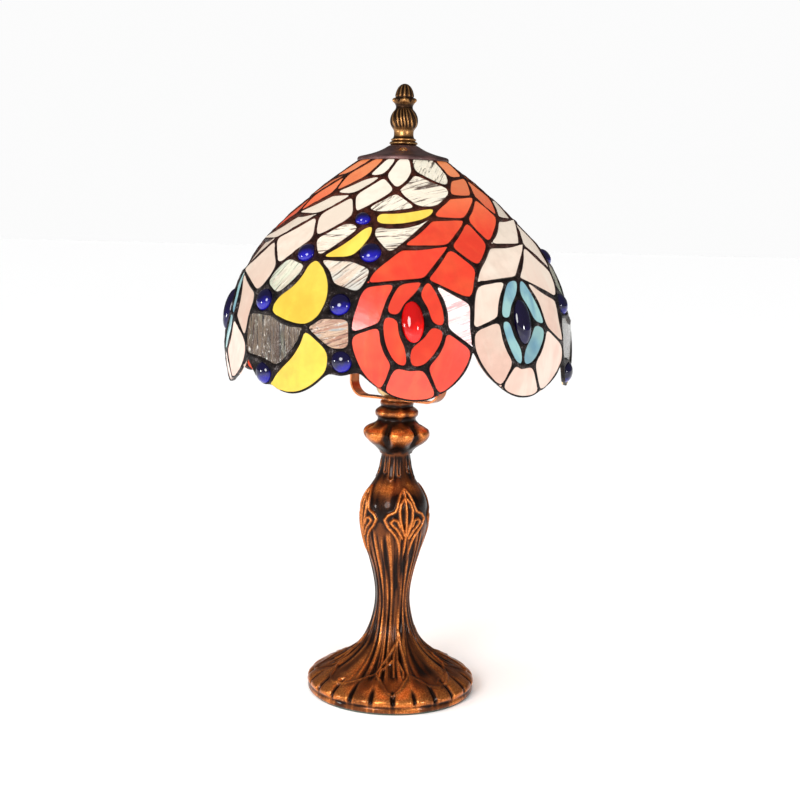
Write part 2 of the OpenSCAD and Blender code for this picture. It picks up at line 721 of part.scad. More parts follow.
// Sleeve that drops over the saddle's end and the arm
module harp_ferrule(side) {
    wall = 0.8;
    x = saddle_t + wire_gap + 2 * wire_r + 2 * gap;
    middle = harp_half + wire_r + gap - x / 2;
    color([0.8, 0.55, 0.28])
        in_harp_plane()
            translate([side * middle, 0, ferrule_z])
                difference() {
                    translate([-x / 2 - wall, -saddle_w / 2 - gap - wall, 0])
                        cube([x + 2 * wall, saddle_w + 2 * (gap + wall), ferrule_h]);
                    translate([-x / 2, -saddle_w / 2 - gap, -1])
                        cube([x, saddle_w + 2 * gap, ferrule_h + 2]);
                }
}
module harp_ferrule_left() { harp_ferrule(-1); }
module harp_ferrule_right() { harp_ferrule(1); }

// ---------- lampholder ----------

// A cup or tube turned about the lamp's axis
module tube(z, h, r, wall) {
    translate([0, 0, z])
        difference() {
            cylinder(h = h, r = r);
            translate([0, 0, -1])
                cylinder(h = h + 2, r = r - wall);
        }
}

socket_r = 16.5;
knob_z = 246;
knob_turn = 180 + harp_turn;

module socket_cap() {
    color([0.8, 0.62, 0.32])
        rotate_extrude()
            polygon([[pipe_r + 0.1, socket_z], [9, socket_z], [14, socket_z + 4],
                [socket_r, socket_z + 9], [socket_r, socket_z + 17], [socket_r - 0.8, socket_z + 17],
                [socket_r - 0.8, socket_z + 9.4], [13.4, socket_z + 4.8], [8.6, socket_z + 0.9],
                [pipe_r + 0.1, socket_z + 0.9]]);
}

module socket_shell() {
    color([0.82, 0.64, 0.34])
        difference() {
            tube(socket_z + 14, 33, socket_r + 0.9, 0.8);
            at_knob()
                cylinder(h = 30, r = 2.6);
        }
}

module socket_liner() {
    color([0.75, 0.68, 0.55])
        difference() {
            tube(socket_z + 17.3, 29.5, socket_r - 0.1, 0.8);
            at_knob()
                cylinder(h = 30, r = 2.6);
        }
}

module at_knob() {
    translate([0, 0, knob_z])
        rotate([0, 0, knob_turn])
            rotate([90, 0, 0])
                children();
}

module switch_body() {
    color([0.12, 0.12, 0.12])
        difference() {
            translate([0, 0, socket_z + 10])
                cylinder(h = 17.5, r = 13.2);
            at_knob()
                cylinder(h = 30, r = 1.6 + fit);
        }
}

module screw_shell() {
    color([0.85, 0.7, 0.4])
        tube(screw_z, 19, screw_r + 1.1, 0.8);
}

module centre_contact() {
    color([0.85, 0.7, 0.4])
        translate([-2.5, -4, screw_z - 0.2])
            cube([5, 8, 0.8]);
}

module terminal_screws() {
    color([0.8, 0.75, 0.5])
        for (side = [-1, 1])
            rotate([0, 0, knob_turn + 90 * side])
                translate([0, -13.2, socket_z + 18])
                    rotate([90, 0, 0])
                        cylinder(h = 1.8, r = 2.6, $fn = 24);
}

module switch_shaft() {
    color([0.8, 0.65, 0.35])
        at_knob()
            translate([0, 0, 4])
                cylinder(h = 24, r = 1.6);
}

module switch_knob() {
    color([0.1, 0.08, 0.07])
        at_knob()
            translate([0, 0, 20.5])
                difference() {
                    union() {
                        cylinder(h = 9, r = 4.4);
                        translate([0, 0, 1])
                            cylinder(h = 7, r = 5);
                    }
                    translate([0, 0, -1])
                        cylinder(h = 8.5, r = 1.6);
                }
}

// ---------- bulb ----------

bulb_z = screw_z + 0.9;

// Glass envelope with its neck in the screw cap
module bulb_glass() {
    color([1, 0.97, 0.85])
        difference() {
            bulb_form(0);
            bulb_form(0.8);
            // Where the stem is fused in
            translate([0, 0, bulb_z])
                cylinder(h = 20, r = stem_r);
        }
}

stem_r = 4;

module bulb_form(wall) {
    middle = bulb_z + 75;
    r = bulb_r - wall;
    rotate_extrude()
        intersection() {
            union() {
                translate([0, middle])
                    circle(r);
                polygon([[0, bulb_z + 17 + wall], [12 - wall, bulb_z + 17 + wall],
                    [12.4 - wall, bulb_z + 30], [16.5 - wall, bulb_z + 41],
                    [r * cos(-38), middle + r * sin(-38)], [0, middle]]);
            }
            translate([0, bulb_z])
                square([40, 120]);
        }
}

module bulb_screw_cap() {
    color([0.8, 0.8, 0.78])
        tube(bulb_z + 2.5, 23, screw_r, 0.7);
}

module bulb_insulator() {
    color([0.08, 0.08, 0.1])
        translate([0, 0, bulb_z])
            cylinder(h = 3.5, r1 = 5, r2 = screw_r - 0.75);
}

// Glass stem with two supports and the glowing wire across them
module filament_mount() {
    color([0.95, 0.85, 0.6]) {
        translate([0, 0, bulb_z + 3.5])
            cylinder(h = 42, r = stem_r);
        for (side = [-1, 1])
            translate([side * 9, 0, bulb_z + 62])
                rotate([0, side * 28, 0])
                    translate([0, 0, -19])
                        cylinder(h = 19, r = 0.6, $fn = 16);
        translate([-9.5, 0, bulb_z + 62])
            rotate([0, 90, 0])
                cylinder(h = 19, r = 0.9, $fn = 16);
    }
}

base_casting();
neck_collar();
felt_pad();
lamp_pipe();
bottom_washer();
bottom_nut();
cord_bushing();
harp_saddle();
harp_bow();
harp_ferrule_left();
harp_ferrule_right();
socket_cap();
socket_shell();
socket_liner();
switch_body();
screw_shell();
centre_contact();
terminal_screws();
switch_shaft();
switch_knob();
bulb_glass();
bulb_screw_cap();
bulb_insulator();
filament_mount();
harp_stud();
shade_cap();
crown_ring();
solder_network();
glass_red();
glass_white();
glass_teal();
glass_yellow();
glass_pink_ripple();
glass_beige_ripple();
glass_green_ripple();
glass_brown_ripple();
gems_blue();
jewels_red();
jewels_navy();
finial_collar();
finial();
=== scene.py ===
import math
import random

import bmesh
import bpy
import numpy as np
from mathutils import Matrix, Vector, noise


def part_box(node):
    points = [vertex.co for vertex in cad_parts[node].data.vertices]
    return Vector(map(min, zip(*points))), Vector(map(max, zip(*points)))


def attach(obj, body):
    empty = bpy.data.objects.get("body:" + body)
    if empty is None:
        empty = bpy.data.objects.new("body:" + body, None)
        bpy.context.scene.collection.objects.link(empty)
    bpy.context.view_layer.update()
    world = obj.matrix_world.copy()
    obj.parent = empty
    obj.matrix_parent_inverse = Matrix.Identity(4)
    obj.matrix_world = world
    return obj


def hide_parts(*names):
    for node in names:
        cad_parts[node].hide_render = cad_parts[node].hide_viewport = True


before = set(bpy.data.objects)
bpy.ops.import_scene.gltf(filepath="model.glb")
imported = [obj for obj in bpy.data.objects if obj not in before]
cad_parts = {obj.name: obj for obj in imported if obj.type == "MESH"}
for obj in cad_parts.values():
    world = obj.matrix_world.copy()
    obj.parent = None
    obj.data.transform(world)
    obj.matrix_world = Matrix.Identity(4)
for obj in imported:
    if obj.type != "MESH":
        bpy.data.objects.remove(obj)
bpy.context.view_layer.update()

MM = 0.001
TURN = 2 * math.pi

# ---------- the shade's form, as in the CAD: two tangent arcs ----------

BELLY_R = 0.115
BELLY_X = 0.012
SHADE_Z = 0.262
BELLY_ANGLE = math.radians(42.7)
CROWN_R = 0.373
CROWN_X = BELLY_X + (BELLY_R - CROWN_R) * math.cos(BELLY_ANGLE)
CROWN_Z = SHADE_Z + (BELLY_R - CROWN_R) * math.sin(BELLY_ANGLE)
GLASS_T = 0.0026
RIM_Z = 0.234
CROWN_TOP_Z = 0.397


def form_at(p):
    """How far a point is outside the glass's outer face, and the face's outward normal there."""
    r = math.hypot(p.x, p.y)
    angle = math.atan2(p.z - SHADE_Z, r - BELLY_X)
    x, z, radius = (BELLY_X, SHADE_Z, BELLY_R) if angle < BELLY_ANGLE else (CROWN_X, CROWN_Z, CROWN_R)
    away = Vector((r - x, p.z - z))
    lift = away.length - radius
    away.normalize()
    return lift, Vector((away.x * p.x / r, away.x * p.y / r, away.y))


# ---------- materials: values as expressions, nodes from one method ----------


class Value:
    """A socket that can be used in a sum; each operator adds its Math node."""

    def __init__(self, finish, socket):
        self.finish = finish
        self.socket = socket

    def maths(self, operation, *values):
        return self.finish.node("Math", {"operation": operation}, *values)

    def __add__(self, other):
        return self.maths("ADD", self, other)

    def __radd__(self, other):
        return self.maths("ADD", other, self)

    def __sub__(self, other):
        return self.maths("SUBTRACT", self, other)

    def __rsub__(self, other):
        return self.maths("SUBTRACT", other, self)

    def __mul__(self, other):
        return self.maths("MULTIPLY", self, other)

    def __rmul__(self, other):
        return self.maths("MULTIPLY", other, self)

    def between(self, low, high):
        """0 below low, 1 above high, and a smooth rise between them."""
        kept = {"interpolation_type": "SMOOTHSTEP"}
        return self.finish.node("MapRange", kept, self, low, high, 0.0, 1.0)


class Finish:
    """A material on one Principled shader."""

    def __init__(self, name, **constants):
        self.material = bpy.data.materials.new(name)
        self.material.use_nodes = True
        self.tree = self.material.node_tree
        self.shader = self.tree.nodes["Principled BSDF"]
        for socket, value in constants.items():
            self.shader.inputs[socket.replace("_", " ")].default_value = value

    def node(self, kind, settings=None, *values, out=0, **named):
        """Adds a node: its settings first, then the values or links of its sockets."""
        made = self.tree.nodes.new("ShaderNode" + kind)
        for key, value in (settings or {}).items():
            setattr(made, key, value)
        pairs = list(zip(made.inputs, values)) + [(made.inputs[k], v) for k, v in named.items()]
        for socket, value in pairs:
            self.put(socket, value)
        return Value(self, made.outputs[out])

    def put(self, socket, value):
        if isinstance(value, Value):
            self.tree.links.new(value.socket, socket)
        elif value is not None:
            socket.default_value = value

    def set(self, name, value):
        self.put(self.shader.inputs[name], value)

    def place(self, scale=(1, 1, 1)):
        """Object coordinates, stretched."""
        at = self.node("TexCoord", out="Object")
        return self.node("Mapping", {}, at, None, None, scale)

    def sheet(self, scale=(1, 1, 1)):
        """Where a piece of glass was cut out of its sheet, stretched along the rolling."""
        at = self.node("Attribute", {"attribute_name": "sheet"}, out="Vector")
        return self.node("Mapping", {}, at, None, None, scale)

    def attribute(self, name):
        return self.node("Attribute", {"attribute_name": name}, out="Fac")

    def height(self):
        at = self.node("TexCoord", out="Object")
        return self.node("SeparateXYZ", {}, at, out="Z")

    def grain(self, at, scale, detail=4.0, roughness=0.55, distortion=0.0):
        kept = {"Scale": scale, "Detail": detail, "Roughness": roughness, "Distortion": distortion}
        return self.node("TexNoise", {}, Vector=at, **kept)

    def mix(self, a, b, share, blend="MIX"):
        """Colour a where share is 0, and b where it is 1."""
        made = self.tree.nodes.new("ShaderNodeMix")
        made.data_type = "RGBA"
        made.blend_type = blend
        for name, value in (("Factor_Float", share), ("A_Color", a), ("B_Color", b)):
            socket = next(s for s in made.inputs if s.identifier == name)
            self.put(socket, (*value, 1) if isinstance(value, tuple) else value)
        return Value(self, next(s for s in made.outputs if s.identifier == "Result_Color"))

    def relief(self, height, distance, strength=1.0):
        kept = {"Strength": strength, "Distance": distance, "Height": height}
        self.set("Normal", self.node("Bump", {}, **kept))


def aged_bronze(name):
    """Dark lacquered casting, worn back to copper where the relief stands up; the same mask also paints
    shade into its hollows and highlights onto its ridges.
    """
    f = Finish(name, Coat_Weight=0.15, Coat_Roughness=0.08, Specular_IOR_Level=0.2)
    at = f.place()
    cloud = f.grain(at, 60)
    speck = f.grain(at, 900, 2)
    wear_and_light_mask = f.attribute("wear_and_light_mask")
    wear_and_painted_light = (wear_and_light_mask + (cloud - 0.5) * 0.6 + (speck - 0.5) * 0.4).between(0.36, 0.95)
    # Darkest where the mask is lowest: dark lacquer with painted shade in the hollows.
    deep = (wear_and_light_mask + (speck - 0.5) * 0.25).between(0.0, 0.42)
    dark = f.mix((0.008, 0.0024, 0.001), (0.12, 0.033, 0.008), deep)
    copper = f.mix((0.5, 0.14, 0.026), (0.8, 0.28, 0.07), speck.between(0.35, 0.75))
    f.set("Base Color", f.mix(dark, copper, wear_and_painted_light))
    f.set("Metallic", 0.72 + wear_and_painted_light * 0.2)
    f.set("Roughness", 0.27 + cloud * 0.16 - wear_and_painted_light * 0.03)
    f.relief(cloud * 0.6 + speck, 0.0003, 0.5)
    return f.material


def plated(name, colour, roughness, wear=0.25):
    """Plated metal, faintly brushed and clouded by handling."""
    f = Finish(name, Metallic=1.0)
    cloud = f.grain(f.place(), 90)
    fine = f.grain(f.place((1, 1, 12)), 700, 2)
    shade = tuple(c * (1 - wear) for c in colour)
    f.set("Base Color", f.mix(shade, colour, cloud.between(0.3, 0.7)))
    f.set("Roughness", roughness + (cloud - 0.5) * 0.2 + fine * 0.06)
    f.relief(fine, 0.00004, 0.4)
    return f.material


def cap_patina(name):
    """Chemical patina on the vented cap: purplish brown with lighter flecks."""
    f = Finish(name, Metallic=0.75, Coat_Weight=0.15)
    at = f.place()
    cloud = f.grain(at, 70)
    fine = f.grain(at, 800, 3)
    body = f.mix((0.045, 0.022, 0.022), (0.15, 0.075, 0.07), cloud.between(0.3, 0.72))
    f.set("Base Color", f.mix(body, (0.24, 0.13, 0.09), fine.between(0.66, 0.82) * 0.6))
    f.set("Roughness", 0.34 + cloud * 0.25)
    f.relief(fine, 0.00008, 0.5)
    return f.material


def antique_brass(name):
    """Dark brass, polished on the high ribs, with the painted highlights and painted shade of the finial's
    relief.
    """
    f = Finish(name, Metallic=0.9)
    at = f.place()
    cloud = f.grain(at, 150)
    wear_and_light_mask = f.attribute("wear_and_light_mask")
    bright = (wear_and_light_mask + (cloud - 0.5) * 0.5).between(0.3, 0.9)
    f.set("Base Color", f.mix((0.028, 0.012, 0.005), (0.45, 0.22, 0.075), bright))
    f.set("Roughness", 0.36 - bright * 0.1 + cloud * 0.12)
    f.relief(f.grain(at, 900, 2), 0.00008, 0.4)
    return f.material


def solder(name):
    """Lumpy tinned seam under a dark patina, redder where the light falls through the crown."""
    f = Finish(name, Metallic=0.8)
    at = f.place()
    cloud = f.grain(at, 160, 5)
    fine = f.grain(at, 1100, 3)
    worn = (cloud * 0.6 + fine * 0.4).between(0.54, 0.68)
    crown = f.height().between(0.3, 0.37)
    low = f.mix((0.003, 0.002, 0.0022), (0.016, 0.009, 0.008), cloud.between(0.35, 0.65))
    high = f.mix((0.03, 0.006, 0.003), (0.1, 0.022, 0.012), cloud.between(0.35, 0.65))
    body = f.mix(low, high, crown)
    f.set("Base Color", f.mix(body, (0.3, 0.27, 0.27), worn * 0.55 * (1 - crown)))
    f.set("Roughness", 0.26 + cloud * 0.3)
    f.relief(cloud + fine, 0.0012, 0.9)
    return f.material


UNLIT = (0.26, 0.26, 0.26)


def lit_glass(name, top, low, streak, amount, top_from=RIM_Z, glow=0.64, ripple=0.0003):
    """Opalescent glass with the bulb behind it, its glow painted as emission: top and low are its colours
    at crown and rim, the change between them painted light of the bulb, stronger toward the crown.
    """
    f = Finish(name, Roughness=0.2, Emission_Strength=glow, Coat_Weight=0.3, Coat_Roughness=0.05)
    climb = f.height().between(top_from, CROWN_TOP_Z)
    wisps = f.grain(f.sheet((1, 0.22, 1)), 88, 5, 0.6, 0.6)
    mottle = f.grain(f.sheet(), 130, 3)
    tone = f.attribute("tone")
    broad = f.grain(f.sheet(), 38, 2)
    body = f.mix(low, top, climb)
    body = f.mix(body, streak, broad.between(0.42, 0.75) * amount)
    colour = f.mix(body, streak, (wisps + tone * 0.16 - 0.08).between(0.46, 0.78) * amount)
    shade = f.mix((0.84, 0.82, 0.8), (1.0, 1.0, 1.0), (mottle * 0.6 + tone * 0.5).between(0.3, 0.75))
    colour = f.mix(colour, shade, 1.0, "MULTIPLY")
    f.set("Base Color", f.mix(colour, UNLIT, 1.0, "MULTIPLY"))
    f.set("Emission Color", colour)
    f.relief(wisps + mottle * 0.5, ripple, 0.7)
    return f.material


def ripple_glass(name, pale, warm, dark, cool, glow=0.4):
    """Rolled ripple glass: four colours pulled into streaks, and a rippled face. Its glow is painted light
    of the bulb behind it, paler toward the crown, with painted highlights along the ripples.
    """
    f = Finish(name, Roughness=0.12, Emission_Strength=glow, Coat_Weight=0.6, Coat_Roughness=0.04)
    long = f.grain(f.sheet((1, 0.16, 1)), 110, 6, 0.65, 1.4)
    other = f.grain(f.sheet((1, 0.12, 1)), 170, 4, 0.6, 0.8)
    thin = f.grain(f.sheet((1, 0.07, 1)), 300, 6, 0.68, 2.2)
    ripples = f.grain(f.sheet((1, 0.35, 1)), 420, 3, 0.6, 1.8)
    tone = f.attribute("tone")
    colour = f.mix(pale, warm, (long + tone * 0.1).between(0.42, 0.6))
    colour = f.mix(colour, cool, (other + tone * 0.12).between(0.54, 0.66))
    # Paler toward the crown: painted light of the bulb
    colour = f.mix(colour, (0.95, 0.86, 0.7), f.height().between(0.27, 0.36) * 0.85)
    colour = f.mix(colour, dark, thin.between(0.52, 0.6) * 0.95)
    # Painted highlights along the ripples' crests
    colour = f.mix(colour, (0.95, 0.9, 0.82), ripples.between(0.58, 0.72) * 0.55)
    f.set("Base Color", f.mix(colour, UNLIT, 0.6, "MULTIPLY"))
    f.set("Emission Color", colour)
    f.relief(ripples + long + thin, 0.001, 1.0)
    return f.material


def stone_glass(name, deep, bright, glow):
    """Pressed glass stone: light gathers at the foot of its dome."""
    f = Finish(name, Roughness=0.05, Emission_Strength=glow, Coat_Weight=0.35, Coat_Roughness=0.03, IOR=1.4)
    gather = f.attribute("gather")
    cloud = f.grain(f.place(), 260, 3)
    share = (gather + (cloud - 0.5) * 0.5).between(0.5, 1.15)
    colour = f.mix(deep, bright, share)
    f.set("Base Color", f.mix(deep, bright, share * 0.3))
    f.set("Emission Color", colour)
    return f.material


def lamp_glow(name):
    """Frosted envelope, lit."""
    f = Finish(name, Roughness=0.4, Emission_Strength=3.0)
    climb = f.height().between(0.27, 0.34)
    f.set("Base Color", (0.95, 0.9, 0.8, 1))
    f.set("Emission Color", f.mix((1.0, 0.62, 0.3), (1.0, 0.86, 0.62), climb))
    return f.material


def moulded(name, colour, roughness=0.45):
    """Moulded phenolic or rubber with a faint grain."""
    f = Finish(name)
    fine = f.grain(f.place(), 600, 3)
    f.set("Base Color", f.mix(colour, tuple(c * 1.8 for c in colour), fine))
    f.set("Roughness", roughness + fine * 0.15)
    f.relief(fine, 0.0001, 0.4)
    return f.material


def felt(name):
    """Pressed felt, a little fibrous."""
    f = Finish(name, Sheen_Weight=0.5)
    fibres = f.grain(f.place((1, 3, 1)), 900, 5, 0.7)
    f.set("Base Color", f.mix((0.02, 0.045, 0.03), (0.07, 0.11, 0.08), fibres))
    f.set("Roughness", 0.9 + fibres * 0.1)
    f.relief(fibres, 0.0005, 0.8)
    return f.material


# ---------- mesh work ----------

FAR = 99.0


def stand(name, data):
    """An object of its own for a mesh, light or camera, linked to the scene."""
    made = bpy.data.objects.new(name, data)
    bpy.context.scene.collection.objects.link(made)
    return made


def merged(node):
    """The CAD node's mesh as a bmesh, its loose triangles joined up."""
    bm = bmesh.new()
    bm.from_mesh(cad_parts[node].data)
    bmesh.ops.remove_doubles(bm, verts=bm.verts, dist=0.002 * MM)
    return bm


def smooth_shade(mesh, limit=38):
    """Shades a mesh smooth, but keeps the edges sharper than limit degrees."""
    bm = bmesh.new()
    bm.from_mesh(mesh)
    for edge in bm.edges:
        edge.smooth = len(edge.link_faces) == 2 and edge.calc_face_angle() < math.radians(limit)
    for face in bm.faces:
        face.smooth = True
    bm.to_mesh(mesh)
    bm.free()


def add_piece(name, mesh, body, finish, slot, *nodes):
    """Puts a finished mesh on a body, with its material, in place of CAD nodes."""
    piece = stand(name, mesh)
    mesh.materials.clear()
    mesh.materials.append(finish)
    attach(piece, body)
    if nodes:
        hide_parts(*nodes)
    return piece


def mesh_of(bm, name):
    mesh = bpy.data.meshes.new(name)
    bm.to_mesh(mesh)
    bm.free()
    return mesh


def smooth_outline(points, spacing):
    """A Catmull-Rom curve through outline points, in mm, as points about spacing apart."""
    made = []
    last = len(points) - 1
    for i in range(last):
        p0, p1 = points[max(i - 1, 0)], points[i]
        p2, p3 = points[i + 1], points[min(i + 2, last)]
        steps = max(1, round(math.dist(p1, p2) / spacing))
        for k in range(steps):
            t = k / steps
            made.append(tuple(
                0.5 * (2 * b + (c - a) * t + (2 * a - 5 * b + 4 * c - d) * t * t
                       + (3 * b - a - 3 * c + d) * t ** 3)
                for a, b, c, d in zip(p0, p1, p2, p3)))
    return made + [points[last]]


def turned(curve, hidden, steps):
    """Turns a closed section. curve is its visible outline and hidden the rest, in mm.
    Each vertex keeps how far along the visible outline it lies, or -1."""
    bm = bmesh.new()
    along = bm.verts.layers.float.new("along")
    run = 0.0
    verts = []
    for i, (r, z) in enumerate(curve + list(hidden)):
        if 0 < i < len(curve):
            run += math.dist(curve[i - 1], curve[i])
        verts.append(bm.verts.new((0, -r * MM, z * MM)))
        verts[-1][along] = run if i < len(curve) else -1.0
    edges = [bm.edges.new((verts[i], verts[(i + 1) % len(verts)])) for i in range(len(verts))]
    bmesh.ops.spin(bm, geom=verts + edges, cent=(0, 0, 0), axis=(0, 0, 1), angle=TURN,
                   steps=steps, use_merge=True)
    bmesh.ops.remove_doubles(bm, verts=bm.verts, dist=0.001 * MM)
    bmesh.ops.recalc_face_normals(bm, faces=bm.faces)
    return bm


def raise_relief(bm, curve, heights):
    """Moves the visible vertices out by heights(azimuth in degrees, radius, z), in mm.
    heights returns the move and how bright the spot is: worn copper, with painted shade and painted
    highlights."""
    along = bm.verts.layers.float["along"]
    wear_and_light_layer = bm.verts.layers.float.new("wear_and_light_mask")
    shown = [v for v in bm.verts if v[along] >= 0]
    r = np.array([math.hypot(v.co.x, v.co.y) for v in shown]) / MM
    z = np.array([v.co.z for v in shown]) / MM
    azimuth = np.degrees(np.array([math.atan2(v.co.x, -v.co.y) for v in shown]))
    at = np.array([v[along] for v in shown])
    points = np.array(curve)
    runs = np.concatenate([[0], np.cumsum(np.hypot(*np.diff(points, axis=0).T))])
    slope_r = np.interp(at, runs, np.gradient(points[:, 0], runs))
    slope_z = np.interp(at, runs, np.gradient(points[:, 1], runs))
    move, wear_and_painted_light = heights(azimuth, r, z)
    size = np.hypot(slope_r, slope_z)
    rows = zip(shown, move, wear_and_painted_light, np.radians(azimuth), slope_z / size, -slope_r / size)
    for v, m, bright, a, nr, nz in rows:
        v.co += Vector((math.sin(a) * nr, -math.cos(a) * nr, nz)) * float(m) * MM
        v[wear_and_light_layer] = float(bright)


def bell(x, middle, width):
    """1 at the middle, falling to nothing a few widths away."""
    return np.exp(-((x - middle) / width) ** 2)


def rise(x, low, high):
    """0 below low, 1 above high, and a smooth rise between them."""
    t = np.clip((x - low) / (high - low), 0, 1)
    return t * t * (3 - 2 * t)


def wrapped(degrees):
    """The same angle, between -180 and 180."""
    return (degrees + 180) % 360 - 180


def near_line(azimuth, other, r, line):
    """Distance in mm to a line of [azimuth, other] points; other is z or the radius."""
    best = np.full(len(azimuth), FAR)
    k = np.radians(1) * r
    for (a1, b1), (a2, b2) in zip(line, line[1:]):
        x1, y1 = wrapped(a1 - azimuth) * k, b1 - other
        dx, dy = (a2 - a1) * k, b2 - b1
        t = np.clip(-(x1 * dx + y1 * dy) / (dx * dx + dy * dy + 1e-9), 0, 1)
        best = np.minimum(best, np.hypot(x1 + t * dx, y1 + t * dy))
    return best


# ---------- the base ----------

FOOT_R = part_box("base_casting")[1].x / MM
FELT_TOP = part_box("base_casting")[0].z / MM
CASTING_OUTLINE = [
    (FOOT_R - 1.2, FELT_TOP), (FOOT_R, 2.4), (FOOT_R - 0.3, 5.4), (FOOT_R + 0.2, 8.2),
    (FOOT_R - 1, 10.8), (58, 13.6), (52, 17.2), (44.5, 21), (37, 25), (30.5, 29.5), (25.5, 34),
    (21.6, 39), (18.8, 44.5), (16.4, 51), (14.6, 58), (13.4, 65), (13, 72), (13.5, 80),
    (15, 88.5), (17.2, 97.5), (19.8, 106), (22.4, 115), (24.4, 124), (25.3, 132), (25.1, 139),
    (23.8, 146), (21, 152.5), (17.2, 158.5), (13.9, 164), (11.9, 170), (10.9, 176), (10.6, 181),
    (10.4, 188)]
WAIST_Z = 58
WAIST_R = 14.6
PIPE_HOLE_R = 5.3
SHAFT_INSIDE = [
    (PIPE_HOLE_R, 188), (PIPE_HOLE_R, 160), (12, 157), (20.6, 143), (22, 134), (16.4, 104), (9.8, 73),
    (12.4, WAIST_Z)]
FOOT_INSIDE = [
    (12.4, WAIST_Z), (14.6, 49), (PIPE_HOLE_R, 45), (PIPE_HOLE_R, 41), (18.2, 41), (27, 28.5),
    (40, 19), (54, 12), (56, 9), (56, FELT_TOP)]
FOOT_STEPS = 560
SHAFT_STEPS = 336
CURVE_STEP = 0.6
CAST_SMOOTH = 75
SIDES = 4
SIDE_ANGLE = 360 / SIDES
PETALS = 24

# The lily on the foot, as [azimuth, radius], and its vines
FOOT_LINES = [
    [(19, 18), (18, 19), (10.5, 20.8), (1, 24), (-8, 30), (-15, 40), (-9, 45.6), (-5, 51), (-2, 56),
     (2, 58)],
    [(19, 18), (20, 26.4), (20.5, 34), (18.8, 40.7), (12, 48), (7, 54.5), (2, 58)],
    [(12, 21), (5.5, 26), (4.5, 30), (3.5, 42)],
    [(2, 30), (-10.5, 37), (-11, 41)],
    [(9.8, 29.7), (14.3, 38), (13, 43)],
    [(-15, 40), (-21, 42.8), (-33, 50.2), (-40, 53.8), (-46, 54), (-47.5, 51.5), (-43, 49)],
    [(19, 40.7), (27.8, 47), (33, 52.5), (41, 55.5), (45, 53.5), (43.5, 50.5)]]
# The lily on the vase, as [azimuth from its middle, z], and its curls
VASE_MIDDLE = 21.5
VASE_LINES = [
    [(0, 157), (-9, 153.5), (-14.5, 147.5), (-19, 141.5), (-32, 138.5), (-37.5, 135), (-32, 130),
     (-20, 124), (-12, 116.5), (-9, 107), (-8, 96), (-9, 82)],
    [(0, 157), (9, 153.5), (14.5, 147.5), (19, 141.5), (32, 138.5), (37.5, 135), (32, 130),
     (20, 124), (12, 116.5), (9, 107), (8, 96), (9, 82)],
    [(0, 157), (0, 132), (-0.5, 110), (-3, 84)],
    [(0, 151), (-9, 147), (-12, 142), (-10.5, 135), (-7, 129), (-2, 123)],
    [(0, 151), (9, 147), (12, 142), (10.5, 135), (7, 129), (2, 123)],
    [(-11, 130), (-15, 134.5), (-22, 135.5), (-27, 133), (-16, 128), (-6, 121)],
    [(11, 130), (15, 134.5), (22, 135.5), (27, 133), (16, 128), (6, 121)]]
# The drips under the neck, as (azimuth from their middle, height of the toe, half width)
DRIP_MIDDLE = -35.5
DRIPS = ((0, 163.5, 1.9), (-24, 168, 1.2), (26, 166, 1.2))
DRIP_TOP = 182


def distance_to(azimuth, other, r, lines, turn, where):
    """Distance in mm to the lines that stand proud, which are repeated on every side."""
    near = np.full(len(azimuth), FAR)
    if not where.any():
        return near
    best = near[where]
    for k in range(SIDES):
        for line in lines:
            curve = smooth_outline(line, 5)
            found = near_line(azimuth[where] - turn - k * SIDE_ANGLE, other[where], r[where], curve)
            best = np.minimum(best, found)
    near[where] = best
    return near


def uneven_round(azimuth, z, round_scale, z_scale, seed=0.0):
    """Smooth noise round the axis, with no seam at the back."""
    angles = np.radians(azimuth)
    spots = zip(np.cos(angles) * round_scale, np.sin(angles) * round_scale, z * z_scale + seed)
    return np.array([noise.noise(Vector(spot)) for spot in spots])


